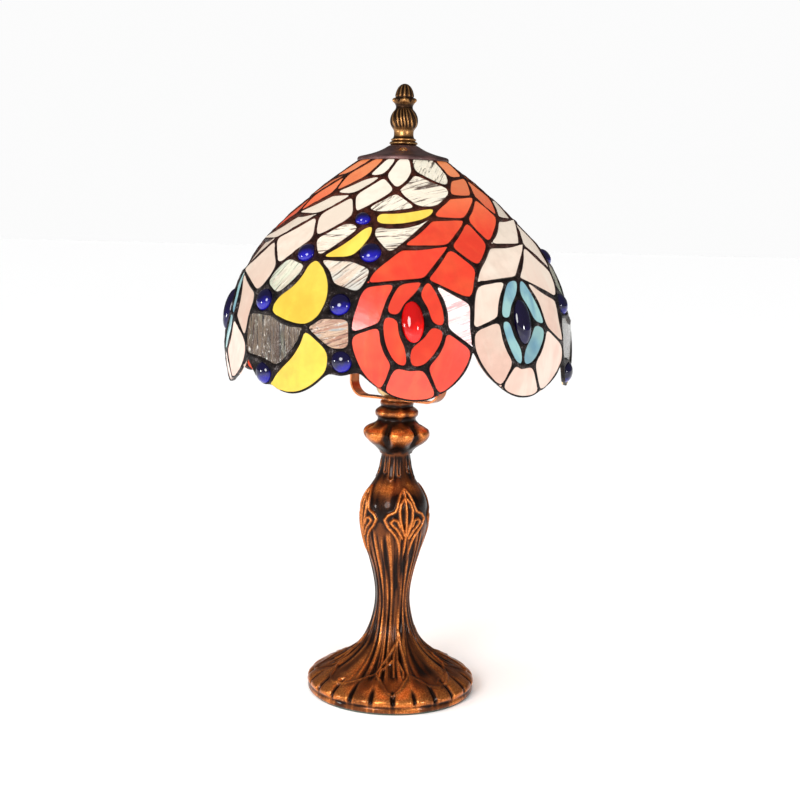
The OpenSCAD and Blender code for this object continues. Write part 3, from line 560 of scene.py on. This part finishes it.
def casting_relief(azimuth, r, z):
    """The relief of the foot and the shaft, and how bright each spot of it is: worn through to copper where
    it stands up, with painted shade in its hollows and painted highlights on its edges.
    """
    uneven = uneven_round(azimuth, z, 2.2, 0.02)
    patchy = uneven_round(azimuth, z, 5.5, 0.035, 7)
    # Root-like flutes from the foot up to the vase: rounded ribs with narrow valleys painted dark as shade
    flow = azimuth + 6 * np.sin(np.radians(azimuth * 4) + z * 0.025) + uneven * 10 + (z - 60) * 0.05
    ribs = np.abs(np.cos(np.radians(flow) * 11)) ** 0.55
    fine = np.abs(np.cos(np.radians(flow * 17 + 30))) ** 0.5
    at_foot = rise(r, 18, 34) * (z < 60)
    flutes = ribs * (0.65 - 0.15 * at_foot) + fine * (0.35 + 0.15 * at_foot)
    between = np.abs(wrapped(azimuth - VASE_MIDDLE) % SIDE_ANGLE - SIDE_ANGLE / 2) / (SIDE_ANGLE / 2)
    top_of_flutes = 136 - 14 * (1 - between) ** 2
    on_shaft = rise(z, 15.5, 24) * (1 - rise(z, top_of_flutes - 7, top_of_flutes))
    move = (flutes - 0.8) * on_shaft * np.clip(0.9 + r * 0.035, 0.9, 2.1)
    # A painted highlight along each rib's crest, and lighter lines down the ribs' flanks on the foot
    edge = bell(flutes, 0.93, 0.05)
    fold = bell(ribs, 0.86, 0.1) * rise(r, 16, 26)
    wear_and_painted_light = (0.6 * flutes ** 3.5 - 0.1 + 0.6 * patchy + edge * 0.2 + fold * 0.25) * on_shaft
    wear_and_painted_light = wear_and_painted_light + (1 - on_shaft) * 0.4
    # Petals round the rim, with wide gaps between their ends painted dark as shade
    petal = wrapped((azimuth - 2.2) * PETALS) / PETALS
    off_groove = np.abs(petal) * np.radians(1) * r
    long_petal = 0.5 + 0.5 * np.cos(np.radians(azimuth - 2) * SIDES)
    reach = rise(r, 44 + 8 * long_petal + 3 * uneven, 60)
    groove = np.exp(-(off_groove / (0.35 + 1.1 * reach)) ** 2)
    on_rim = reach * rise(z, 5.8, 8.2)
    move = move - groove * on_rim * 2.0
    swell = (1 - np.exp(-(off_groove / 3.5) ** 2)) * rise(r, 50, 58) * rise(z, 6, 9)
    move = move + swell * 0.5
    outward = rise(r, 42, 50)
    # Lighter over the low part of the foot
    wear_and_painted_light = wear_and_painted_light + 0.12 * (1 - rise(z, 25, 50))
    # A painted highlight along each petal's edges beside the grooves
    rim_tone = 0.62 + 0.3 * swell + patchy * 0.55 + 0.22 * bell(off_groove, 2.4, 0.9) * reach
    wear_and_painted_light = wear_and_painted_light * (1 - outward) + outward * rim_tone
    wear_and_painted_light = wear_and_painted_light - groove * on_rim * 1.1
    # A fine groove under the lip, painted dark as shade, then the plain band, darker near the floor, and a
    # painted highlight along the lip
    band = bell(z, 5.6, 0.8) * (r > 55)
    move = move - band * 0.5
    wear_and_painted_light = wear_and_painted_light - band * 0.4 - (z < 5) * 0.12 + bell(z, 7.2, 1) * (r > 58) * 0.15
    # Lilies and vines, worn bright, in a shallow dip painted dark as shade round them
    foot_gap = distance_to(azimuth, r, r, FOOT_LINES, 0, (z < 60) & (z > 9))
    vase_gap = distance_to(azimuth, z, r, VASE_LINES, VASE_MIDDLE, z > 78)
    fade = rise(z, 84, 116)
    vase_gap = np.where(z > 78, vase_gap + (1 - fade) * 3, vase_gap)
    lily = np.exp(-(foot_gap / (0.95 + 0.3 * patchy)) ** 2) * np.clip(0.9 + patchy, 0.55, 1)
    blade = np.exp(-(vase_gap / 1.0) ** 2)
    shade = 0.6 * np.exp(-(foot_gap / 3) ** 2) * (1 - lily)
    shade = shade + np.exp(-(vase_gap / 3.6) ** 2) * (1 - blade)
    move = move * (1 - lily) * (1 - blade) + lily * (1.0 + 0.5 * uneven) + blade * 1.2 - shade * 0.35
    # The bare bulge between the lilies, with a dusting of copper at its shoulder
    bare = rise(z, 131, 137) * (1 - rise(z, 178, 182))
    dust = 0.02 + 0.62 * bell(z, 157, 5.5) + patchy * 0.3
    wear_and_painted_light = wear_and_painted_light * (1 - bare) + dust * bare
    # Painted shade round the lilies and vines
    wear_and_painted_light = wear_and_painted_light - shade * 0.45
    wear_and_painted_light = np.maximum(wear_and_painted_light, np.maximum(lily * 0.82, blade * fade * 1.05))
    # Drips that run down the neck
    half_side = SIDE_ANGLE / 2
    for middle, low_end, wide in DRIPS:
        off_middle = wrapped(azimuth - VASE_MIDDLE - DRIP_MIDDLE - middle)
        drip_at = ((off_middle + half_side) % SIDE_ANGLE - half_side) * np.radians(1) * r
        side = np.abs(np.abs(drip_at) - wide)
        drip = np.exp(-(side / 0.6) ** 2) * rise(z, low_end, low_end + 2)
        drip = drip * (1 - rise(z, DRIP_TOP - 8, DRIP_TOP))
        toe = np.exp(-((np.hypot(drip_at, z - low_end - 1) - wide) / 0.6) ** 2) * (z < low_end + 1.4)
        drip = np.maximum(drip, toe * (np.abs(drip_at) < 4))
        move = move + drip * 0.6
        wear_and_painted_light = np.maximum(wear_and_painted_light, drip * (0.5 + patchy))
    return move, wear_and_painted_light


def add_cast(name, bm, shown, relief, body, finish, slot, node):
    """Gives a turned body its relief, and puts it in place of its CAD node."""
    raise_relief(bm, shown, relief)
    mesh = mesh_of(bm, name)
    smooth_shade(mesh, CAST_SMOOTH)
    add_piece(name, mesh, body, finish, slot, node)


def make_casting(finish):
    """The foot and the shaft, which meet in a plane at the waist, in place of one CAD node."""
    curve = smooth_outline(CASTING_OUTLINE, CURVE_STEP)
    waist = [(WAIST_R, WAIST_Z)]
    foot = [p for p in curve if p[1] < WAIST_Z] + waist
    shaft = waist + [p for p in curve if p[1] > WAIST_Z]
    for name, shown, hidden, steps in (("base_foot", foot, FOOT_INSIDE, FOOT_STEPS),
                                       ("base_shaft", shaft, SHAFT_INSIDE, SHAFT_STEPS)):
        bm = turned(shown, hidden, steps)
        add_cast(name, bm, shown, casting_relief, "base", finish, "bronze_base", "base_casting")


COLLAR_OUTLINE = [
    (12, 181.5), (12.6, 183), (14.6, 185.3), (18, 188), (21.4, 190.6), (23.9, 193.4), (24.8, 196.4),
    (23.9, 199), (21, 201.2), (17.6, 203), (15.1, 205), (14.1, 206.9), (14.5, 208.6), (15.7, 210),
    (16.1, 211.9), (15.6, 213.6), (14, 215), (12.4, 216), (11.9, 217.2), (12.3, 218.2),
    (12.4, 219.6), (11.8, 220.7), (10, 221)]
COLLAR_INSIDE = [(PIPE_HOLE_R, 221), (PIPE_HOLE_R, 188), (10.7, 188), (10.7, 181.5)]
COLLAR_STEPS = 288
LOBES = 6
LOBE_TURN = 19


def collar_relief(azimuth, _, z):
    """Six blunt lobes round the flange, with curled edges to the notches between them. Its brightness is
    painted light: shade in the notches, the grooves and under the flange, highlights on the beads and round
    the flange's rim.
    """
    apart = np.abs(wrapped((azimuth + LOBE_TURN) * LOBES)) / LOBES
    notch = np.exp(-(apart / 7.5) ** 2)
    on_flange = rise(z, 185, 191) * (1 - rise(z, 200.5, 204.5))
    swell = np.cos(np.radians((azimuth + LOBE_TURN + 180 / LOBES) * LOBES)) * 0.55
    uneven = uneven_round(azimuth, z, 3, 0.12)
    curl = np.exp(-((apart - 9.5) / 3.2) ** 2) * bell(z, 199.5, 2.6)
    move = on_flange * (swell - notch * 3.2) + curl * 0.8 + uneven * 0.25
    wear_and_painted_light = 0.24 + on_flange * (0.3 + 0.4 * bell(z, 197, 4)) - notch * on_flange * 1.1
    wear_and_painted_light = wear_and_painted_light + 0.45 * bell(z, 211.9, 2) + 0.3 * bell(z, 219.5, 1) - 0.4 * bell(z, 206.5, 2)
    wear_and_painted_light = wear_and_painted_light - 0.45 * bell(z, 216.8, 1.2) - 0.3 * bell(z, 186, 3) + uneven * 0.5 + curl * 0.3
    return move, wear_and_painted_light


def make_collar(finish):
    curve = smooth_outline(COLLAR_OUTLINE, CURVE_STEP)
    bm = turned(curve, COLLAR_INSIDE, COLLAR_STEPS)
    add_cast("neck_collar_relief", bm, curve, collar_relief, "base", finish, "bronze_base", "neck_collar")


# ---------- the finial ----------

FINIAL_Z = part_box("finial")[0].z / MM
FINIAL_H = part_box("finial")[1].z / MM - FINIAL_Z
BORE_R = 3.15
BORE_DEPTH = 18
TIP_R = 0.05
FINIAL_STEPS = 180
FINIAL_CURVE_STEP = 0.35
FINIAL_OUTLINE = [
    (8.2, 0), (9, 0.5), (9, 1.4), (8, 2), (7.4, 2.9), (7.1, 4.4), (7.1, 6.6), (7.5, 8), (8.4, 9.4),
    (9.5, 11.6), (9.9, 14), (9.7, 16.6), (8.9, 19), (7.6, 21.2), (6.4, 23), (6.1, 24.6), (6.7, 26.2),
    (7.8, 27.8), (8.1, 29.2), (7.3, 30.2), (6.5, 31), (6.6, 32.4), (6.2, 34.4), (5.4, 36.6),
    (4.2, 38.6), (2.6, 40.2), (1.2, 40.8), (TIP_R, FINIAL_H)]


def finial_relief(azimuth, _, z):
    """Twisted ribs on the bulb, leaf tips above it, and a fluted acorn. Rib tops are polished bright;
    painted highlights lie on the base ring and the lower neck, and painted shade in the necks above the
    base ring, above the bulb and at the acorn's foot.
    """
    up = z - FINIAL_Z
    lean = azimuth + 9 * np.sin(np.radians(azimuth * 3)) + up * 1.2
    ribs = np.abs(np.cos(np.radians(lean * 9))) ** 0.6
    on_bulb = rise(up, 8.6, 11) * (1 - rise(up, 20.5, 23))
    acorn = np.abs(np.cos(np.radians(azimuth * 6))) ** 0.6
    on_acorn = rise(up, 30.6, 32.5) * (1 - rise(up, 38.5, 40.5))
    tips = np.cos(np.radians(azimuth * 5)) ** 3
    on_tips = bell(up, 29, 1.5)
    move = (ribs - 0.75) * on_bulb * 0.9 + (acorn - 0.75) * on_acorn * 0.8 + tips * on_tips * 1.15
    wear_and_painted_light = 0.55 + (ribs ** 3 - 0.75) * on_bulb + (acorn ** 3 - 0.75) * on_acorn + tips * on_tips * 0.5
    wear_and_painted_light = wear_and_painted_light - 0.35 * bell(up, 24.6, 1.6) + 0.35 * bell(up, 1, 0.8) + 0.3 * bell(up, 5.5, 1.6)
    wear_and_painted_light = wear_and_painted_light - 0.3 * bell(up, 2.4, 0.7) - 0.35 * bell(up, 30.8, 0.7)
    return move, wear_and_painted_light


def make_finial(finish):
    shown = [(r, z + FINIAL_Z) for r, z in FINIAL_OUTLINE]
    bore_top = FINIAL_Z + BORE_DEPTH
    hidden = [(TIP_R, bore_top), (BORE_R, bore_top), (BORE_R, FINIAL_Z)]
    curve = smooth_outline(shown, FINIAL_CURVE_STEP)
    bm = turned(curve, hidden, FINIAL_STEPS)
    add_cast("finial_cast", bm, curve, finial_relief, "finial", finish, "antique_brass", "finial")


# ---------- the cap ----------

CAP_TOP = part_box("shade_cap")[1].z / MM
CAP_OUTLINE = [
    (5.3, 0), (7.8, 0), (10.3, -0.2), (12.9, -1.9), (15.6, -3.4), (18.4, -4.7), (21.8, -6), (25.2, -7),
    (28.6, -7.9), (31.4, -8.5), (33.2, -9.1), (33.5, -10.6), (33.3, -12)]
CAP_STEPS = 36
VENTS = 4
VENT_ROW = 4
VENT_R = 3.6
CAP_SHEET = 1.0


def make_cap(finish):
    """Spun cone with a rolled lip and a ring of round vents."""
    bm = bmesh.new()
    verts = [bm.verts.new((0, -r * MM, (z + CAP_TOP) * MM)) for r, z in CAP_OUTLINE]
    edges = [bm.edges.new(pair) for pair in zip(verts, verts[1:])]
    middle = verts[VENT_ROW].co.copy()
    bmesh.ops.spin(bm, geom=verts + edges, cent=(0, 0, 0), axis=(0, 0, 1), angle=TURN,
                   steps=CAP_STEPS, use_merge=True)
    for k in range(VENTS):
        centre = Matrix.Rotation(k * TURN / VENTS, 3, "Z") @ middle
        hub = min(bm.verts, key=lambda v: (v.co - centre).length)
        for other in {v for face in hub.link_faces for v in face.verts if v != hub}:
            other.co = centre + (other.co - centre).normalized() * VENT_R * MM
        bmesh.ops.delete(bm, geom=[hub], context="VERTS")
    bmesh.ops.recalc_face_normals(bm, faces=bm.faces)
    for face in bm.faces:
        face.smooth = True
    mesh = mesh_of(bm, "cap_spun")
    piece = add_piece("cap_spun", mesh, "shade", finish, "cap_bronze", "shade_cap")
    sheet = piece.modifiers.new("sheet", "SOLIDIFY")
    sheet.thickness = CAP_SHEET * MM
    sheet.offset = -1
    rounding = piece.modifiers.new("rounding", "SUBSURF")
    rounding.levels = rounding.render_levels = 2


# ---------- the shade ----------

# Where a seam's knife edge and its ridge lie against the glass's outer face, in m
KNIFE_LIFT = -0.0013
LIFT_SLACK = 0.0006
RIDGE_LIFT = 0.0006
SEAM_RISE = 0.0016
SEAM_SWELL = 0.0003
SEAM_LUMPS = 0.0003
CORNER_TURN = math.radians(22)
CORNER_CREASE = 0.95
SIDE_CREASE = 0.25


def is_knife(edge):
    """Whether an edge is where a seam's upper and lower faces meet."""
    if len(edge.link_faces) != 2:
        return False
    if any(abs(form_at(v.co)[0] - KNIFE_LIFT) > LIFT_SLACK for v in edge.verts):
        return False
    out = form_at(edge.verts[0].co)[1]
    first, second = (face.normal.dot(out) for face in edge.link_faces)
    return first * second < 0


def crease_seams(bm):
    """Creases the seams' thin edges, and their corners where seams meet, so that the glass
    keeps straight sides and crisp corners when the network is rounded."""
    edge_crease = bm.edges.layers.float.new("crease_edge")
    corner_crease = bm.verts.layers.float.new("crease_vert")
    bm.normal_update()
    ridge = {v for v in bm.verts if form_at(v.co)[0] > RIDGE_LIFT}
    hubs = {v for v in ridge if sum(e.other_vert(v) in ridge for e in v.link_edges) > 2}
    knife = [e for e in bm.edges if is_knife(e)]
    ends = {}
    for edge in knife:
        edge[edge_crease] = 1.0
        for v in edge.verts:
            ends.setdefault(v, []).append(edge.other_vert(v))
    for v, others in ends.items():
        v[corner_crease] = SIDE_CREASE
        if len(others) == 2:
            turn = (v.co - others[0].co).angle(others[1].co - v.co, 0)
            if turn > CORNER_TURN and any(e.other_vert(v) in hubs for e in v.link_edges):
                v[corner_crease] = CORNER_CREASE


def make_solder(finish):
    """The CAD's sharp network, rounded into beads and made lumpy."""
    bm = merged("solder_network")
    bmesh.ops.join_triangles(bm, faces=bm.faces, angle_face_threshold=0.6, angle_shape_threshold=3.1)
    crease_seams(bm)
    rough = mesh_of(bm, "solder_rough")
    model = stand("solder_rough", rough)
    rounding = model.modifiers.new("rounding", "SUBSURF")
    rounding.levels = rounding.render_levels = 2
    shown = model.evaluated_get(bpy.context.evaluated_depsgraph_get())
    mesh = bpy.data.meshes.new_from_object(shown)
    bpy.data.objects.remove(model)
    bpy.data.meshes.remove(rough)
    bm = bmesh.new()
    bm.from_mesh(mesh)
    for v in bm.verts:
        lift, out = form_at(v.co)
        high = min(max((lift - KNIFE_LIFT) / SEAM_RISE, 0), 1)
        lump = noise.noise(v.co * 260) + 0.6 * noise.noise(v.co * 640)
        v.co += out * (SEAM_SWELL * math.sqrt(high) + SEAM_LUMPS * lump * high)
    for face in bm.faces:
        face.smooth = True
    bm.to_mesh(mesh)
    bm.free()
    mesh.name = "solder_beads"
    add_piece("solder_beads", mesh, "shade", finish, "solder", "solder_network")


def islands(bm):
    """The separate pieces of a mesh, each as its list of vertices."""
    seen, found = set(), []
    for start in bm.verts:
        if start in seen:
            continue
        seen.add(start)
        group, waiting = [start], [start]
        while waiting:
            v = waiting.pop()
            for edge in v.link_edges:
                other = edge.other_vert(v)
                if other not in seen:
                    seen.add(other)
                    group.append(other)
                    waiting.append(other)
        found.append(group)
    return found


def local_frame(middle):
    """Unit vectors round the shade, up its slope, and out of it, at a point."""
    out = form_at(middle)[1]
    across = Vector((0, 0, 1)).cross(out).normalized()
    return across, out.cross(across), out


FLATNESS = 0.75
PANE_EDGES = (0.012, 0.006)
LONG_SIDES = 4


def facet_of(group, middle, across, up, out):
    """The flat pane nearest to a piece's outer face: its height and two slopes."""
    rows, heights = [], []
    for v in group:
        lift, normal = form_at(v.co)
        if lift > -GLASS_T / 2:
            away = v.co - normal * lift - middle
            rows.append((1, away.dot(across), away.dot(up)))
            heights.append(away.dot(out))
    rows, heights = np.array(rows), np.array(heights)
    facet = np.linalg.lstsq(rows, heights, rcond=None)[0]
    facet[0] += 0.5 * (heights - rows @ facet).min()
    return facet


def make_glass(node, finish, slot, seed, wave=0.00012, grain=0.0):
    """A node's glass with finer, gently uneven faces. Each piece has its own place in its sheet."""
    bm = merged(node)
    for longest in PANE_EDGES:
        cut = [e for e in bm.edges if e.calc_length() > longest]
        bmesh.ops.subdivide_edges(bm, edges=cut, cuts=1, use_grid_fill=True)
        bmesh.ops.triangulate(bm, faces=[f for f in bm.faces if len(f.verts) > LONG_SIDES])
    sheet = bm.verts.layers.float_vector.new("sheet")
    tone = bm.verts.layers.float.new("tone")
    draw = random.Random(seed)
    for group in islands(bm):
        middle = sum((v.co for v in group), Vector()) / len(group)
        across, up, out = local_frame(middle)
        turn = Matrix.Rotation(grain + draw.uniform(-0.5, 0.5), 2)
        start = Vector((draw.uniform(-1, 1), draw.uniform(-1, 1)))
        depth = draw.uniform(-1, 1)
        own_tone = draw.random()
        facet = facet_of(group, middle, across, up, out)
        for v in group:
            lift, normal = form_at(v.co)
            away = v.co - middle
            x, y = away.dot(across), away.dot(up)
            spot = turn @ Vector((x, y)) + start
            v[sheet] = (spot.x, spot.y, depth)
            v[tone] = own_tone
            outer = lift > -GLASS_T / 2
            level = wave * noise.noise(v.co * 160) if outer else -GLASS_T
            v.co += normal * (level - lift)
            flat = facet[0] + facet[1] * x + facet[2] * y - (0 if outer else GLASS_T)
            v.co += out * FLATNESS * (flat - (v.co - middle).dot(out))
    mesh = mesh_of(bm, node + "_cut")
    smooth_shade(mesh, 40)
    add_piece(node + "_cut", mesh, "shade", finish, slot, node)


STONE_RINGS = 28
STONE_SIDES = 40
STONE_TIP = 0.99


def make_stones(node, finish, slot, proud, lean=0.0):
    """Domed stones, each in the place and at the size of its CAD solid."""
    source = merged(node)
    bm = bmesh.new()
    gather = bm.verts.layers.float.new("gather")
    for group in islands(source):
        middle = sum((v.co for v in group), Vector()) / len(group)
        across, up, out = local_frame(middle)
        tilt = Matrix.Rotation(math.radians(lean), 3, out)
        across, up = tilt @ across, tilt @ up
        a = max(abs((v.co - middle).dot(across)) for v in group)
        b = max(abs((v.co - middle).dot(up)) for v in group)
        base = middle - out * form_at(middle)[0]
        made = bmesh.ops.create_uvsphere(bm, u_segments=STONE_SIDES, v_segments=STONE_RINGS, radius=1)
        for v in made["verts"]:
            x, y, z = v.co
            if z > 0:
                side = (1 - (1 - math.hypot(x, y)) ** 1.25) if z < STONE_TIP else 0
                high = proud * z ** 1.05 - GLASS_T / 2 * (1 - z)
            else:
                high = -GLASS_T / 2 + z * GLASS_T * 0.6
            v[gather] = 0.55 - 0.6 * y + 0.25 * x if z > 0 else 0.3
            v.co = base + across * (x * a) + up * (y * b) + out * high
    source.free()
    mesh = mesh_of(bm, node + "_domed")
    for polygon in mesh.polygons:
        polygon.use_smooth = True
    add_piece(node + "_domed", mesh, "shade", finish, slot, node)


# ---------- parts whose CAD shape is already right ----------


def make_plain(node, body, finish, slot, limit=38, round_mm=0.0):
    """A merged, smoothly shaded copy of a CAD node, its sharp edges a little rounded when round_mm is
    given.
    """
    bm = merged(node)
    if round_mm:
        bmesh.ops.dissolve_limit(bm, angle_limit=math.radians(1), verts=bm.verts, edges=bm.edges)
        sharp = [e for e in bm.edges
                 if len(e.link_faces) == 2 and e.calc_face_angle() > math.radians(limit)]
        bmesh.ops.bevel(bm, geom=sharp, offset=round_mm * MM, segments=2, profile=0.5,
                        affect="EDGES", clamp_overlap=True, material=-1)
        bmesh.ops.triangulate(bm, faces=[f for f in bm.faces if len(f.verts) > LONG_SIDES])
    mesh = mesh_of(bm, node + "_finished")
    smooth_shade(mesh, limit)
    return add_piece(node + "_finished", mesh, body, finish, slot, node)


# ---------- put together ----------

bronze = aged_bronze("aged_bronze")
copper = plated("copper_plate", (0.5, 0.17, 0.06), 0.3, 0.5)
brass = plated("brass_plate", (0.78, 0.55, 0.25), 0.28)
steel = plated("zinc_plate", (0.62, 0.62, 0.64), 0.32)
old_brass = antique_brass("antique_brass")
black = moulded("black_phenolic", (0.02, 0.018, 0.017))
card = moulded("brown_card", (0.3, 0.2, 0.12), 0.8)

make_casting(bronze)
make_collar(bronze)
make_finial(old_brass)
make_solder(solder("dark_solder"))

make_glass("glass_red", lit_glass("red_opal", (1.0, 0.34, 0.13), (0.93, 0.055, 0.022),
           (1.0, 0.17, 0.045), 0.35, 0.34), "red_glass", 1)
make_glass("glass_white", lit_glass("white_opal", (1.0, 0.9, 0.75), (0.96, 0.62, 0.5),
           (1.0, 0.88, 0.74), 0.55), "white_glass", 2)
make_glass("glass_teal", lit_glass("teal_opal", (0.42, 0.7, 0.68), (0.38, 0.66, 0.65),
           (0.1, 0.28, 0.48), 0.65), "teal_glass", 3)
make_glass("glass_yellow", lit_glass("yellow_opal", (1.0, 0.78, 0.13), (1.0, 0.74, 0.06),
           (0.96, 0.5, 0.04), 0.45), "yellow_glass", 4)
make_glass("glass_pink_ripple", ripple_glass("pink_ripple", (0.95, 0.68, 0.66), (0.9, 0.55, 0.55),
           (0.6, 0.34, 0.34), (0.85, 0.76, 0.8), 0.66), "pink_ripple_glass", 5, 0.00025, 0.9)
make_glass("glass_beige_ripple", ripple_glass("beige_ripple", (0.55, 0.36, 0.24), (0.36, 0.17, 0.11),
           (0.075, 0.04, 0.03), (0.33, 0.34, 0.33)), "beige_ripple_glass", 6, 0.00025, 1.15)
make_glass("glass_green_ripple", ripple_glass("green_ripple", (0.42, 0.5, 0.36), (0.4, 0.33, 0.24),
           (0.06, 0.05, 0.035), (0.22, 0.36, 0.27)), "green_ripple_glass", 7, 0.00025, 1.0)
make_glass("glass_brown_ripple", ripple_glass("brown_ripple", (0.15, 0.1, 0.06), (0.07, 0.034, 0.018),
           (0.012, 0.008, 0.006), (0.13, 0.13, 0.09), 0.26), "brown_ripple_glass", 8, 0.00025, 0.1)
make_stones("gems_blue", stone_glass("cobalt_stone", (0.001, 0.0002, 0.016), (0.016, 0.012, 0.6), 0.26),
            "blue_stone", 3.6 * MM)
make_stones("jewels_red", stone_glass("red_stone", (0.25, 0.0, 0.0), (1.0, 0.008, 0.006), 0.6),
            "red_stone", 4.2 * MM, 5)
make_stones("jewels_navy", stone_glass("navy_stone", (0.002, 0.0005, 0.012), (0.01, 0.007, 0.08), 0.2),
            "navy_stone", 4.2 * MM, 2)

make_cap(cap_patina("cap_patina"))
make_plain("crown_ring", "shade", brass, "antique_brass")
make_plain("harp_stud", "shade", brass, "plated_brass")
dark_brass = plated("dark_brass", (0.4, 0.215, 0.08), 0.28, 0.4)
make_plain("finial_collar", "finial_collar", dark_brass, "antique_brass", 60)
make_plain("harp_saddle", "base", copper, "copper_strip", 30)
make_plain("harp_bow", "base", copper, "copper_strip")
make_plain("harp_ferrule_left", "ferrule_left", copper, "copper_strip", 30, 0.25)
make_plain("harp_ferrule_right", "ferrule_right", copper, "copper_strip", 30, 0.25)
for metal in ("socket_cap", "socket_shell", "screw_shell", "centre_contact", "terminal_screws"):
    make_plain(metal, "base", brass, "plated_brass")
make_plain("lamp_pipe", "base", steel, "steel")
make_plain("bottom_washer", "base", steel, "steel")
make_plain("bottom_nut", "base", brass, "plated_brass", 30, 0.3)
make_plain("socket_liner", "base", card, "card")
make_plain("switch_body", "base", black, "black_plastic")
make_plain("cord_bushing", "base", black, "black_plastic")
make_plain("felt_pad", "base", felt("green_felt"), "felt")
make_plain("switch_shaft", "switch", brass, "plated_brass")
make_plain("switch_knob", "switch", black, "black_plastic", 30)
make_plain("bulb_screw_cap", "bulb", plated("bulb_cap_metal", (0.75, 0.75, 0.74), 0.3), "lamp_cap")
make_plain("bulb_insulator", "bulb", black, "black_plastic")
filament = make_plain("filament_mount", "bulb", lamp_glow("glowing_wire"), "filament")
envelope = make_plain("bulb_glass", "bulb", lamp_glow("frosted_glow"), "bulb_frost", 60)
for lit in (filament, envelope):
    lit.visible_shadow = False

# ---------- floor, light and camera ----------


FLOOR_HALF = 40
FLOOR_GREY = 0.93


def make_floor():
    """A plain pale floor that reaches past the horizon."""
    bm = bmesh.new()
    bmesh.ops.create_grid(bm, x_segments=1, y_segments=1, size=FLOOR_HALF)
    floor = stand("floor", mesh_of(bm, "floor"))
    paper = Finish("pale_floor", Roughness=0.9)
    paper.set("Base Color", (FLOOR_GREY, FLOOR_GREY, FLOOR_GREY, 1))
    floor.data.materials.append(paper.material)


def area_light(name, place, target, size, power):
    """A round soft lamp at place, aimed at target."""
    data = bpy.data.lights.new(name, "AREA")
    data.shape = "DISK"
    data.size = size
    data.energy = power
    light = stand(name, data)
    light.location = place
    light.rotation_euler = (Vector(target) - Vector(place)).to_track_quat("-Z", "Y").to_euler()


def bulb_light():
    """The warm light of the bulb inside the shade."""
    data = bpy.data.lights.new("bulb_light", "POINT")
    data.energy = 0.8
    data.color = (1.0, 0.6, 0.3)
    data.shadow_soft_size = 0.02
    light = stand("bulb_light", data)
    light.location = (0, 0, 0.31)


CAMERA_PLACE = (0.0021, -0.964, 0.341)
CAMERA_LENS = 58.8
CAMERA_DIP = 7.1
CAMERA_ROLL = 1.43


def make_camera():
    """Level with the upper part of the shade, tilted down and a touch rolled."""
    data = bpy.data.cameras.new("camera")
    data.sensor_width = 36
    data.lens = CAMERA_LENS
    camera = stand("camera", data)
    camera.matrix_world = (Matrix.Translation(CAMERA_PLACE)
                           @ Matrix.Rotation(math.radians(90 - CAMERA_DIP), 4, "X")
                           @ Matrix.Rotation(math.radians(CAMERA_ROLL), 4, "Z"))
    bpy.context.scene.camera = camera


AMBIENT = 0.36
AMBIENT_BEHIND = 0.1
BACKDROP = 0.97


def make_world():
    """White to the camera; to everything else a dim sky, brighter in front than behind."""
    world = bpy.data.worlds.new("studio")
    world.use_nodes = True
    tree = world.node_tree
    seen = tree.nodes.new("ShaderNodeLightPath").outputs["Is Camera Ray"]
    share = tree.nodes.new("ShaderNodeMapRange")
    tree.links.new(seen, share.inputs["Value"])
    place = tree.nodes.new("ShaderNodeTexCoord").outputs["Generated"]
    parts = tree.nodes.new("ShaderNodeSeparateXYZ")
    tree.links.new(place, parts.inputs["Vector"])
    fall = tree.nodes.new("ShaderNodeMapRange")
    tree.links.new(parts.outputs["Y"], fall.inputs["Value"])
    for name, value in (("From Min", -1), ("From Max", 1), ("To Min", AMBIENT), ("To Max", AMBIENT_BEHIND)):
        fall.inputs[name].default_value = value
    tree.links.new(fall.outputs["Result"], share.inputs["To Min"])
    share.inputs["To Max"].default_value = BACKDROP
    tree.nodes["Background"].inputs["Color"].default_value = (1, 1, 1, 1)
    tree.links.new(share.outputs["Result"], tree.nodes["Background"].inputs["Strength"])
    bpy.context.scene.world = world
    bpy.context.scene.view_settings.view_transform = "Standard"


def sky_light():
    """One broad soft source from high on the left, even over the whole floor."""
    data = bpy.data.lights.new("sky", "SUN")
    data.energy = 3.5
    data.angle = math.radians(100)
    light = stand("sky", data)
    light.rotation_euler = (math.radians(28), math.radians(-22), 0)
    light.visible_glossy = False


make_floor()
sky_light()
area_light("key", (-0.5, -1.1, 0.6), (0, 0, 0.2), 0.5, 10)
area_light("side", (-0.9, -0.3, 0.25), (0, 0, 0.12), 0.12, 1.6)
area_light("fill", (0.8, -0.9, 0.35), (0, 0, 0.15), 0.16, 3)
bulb_light()
make_camera()
make_world()
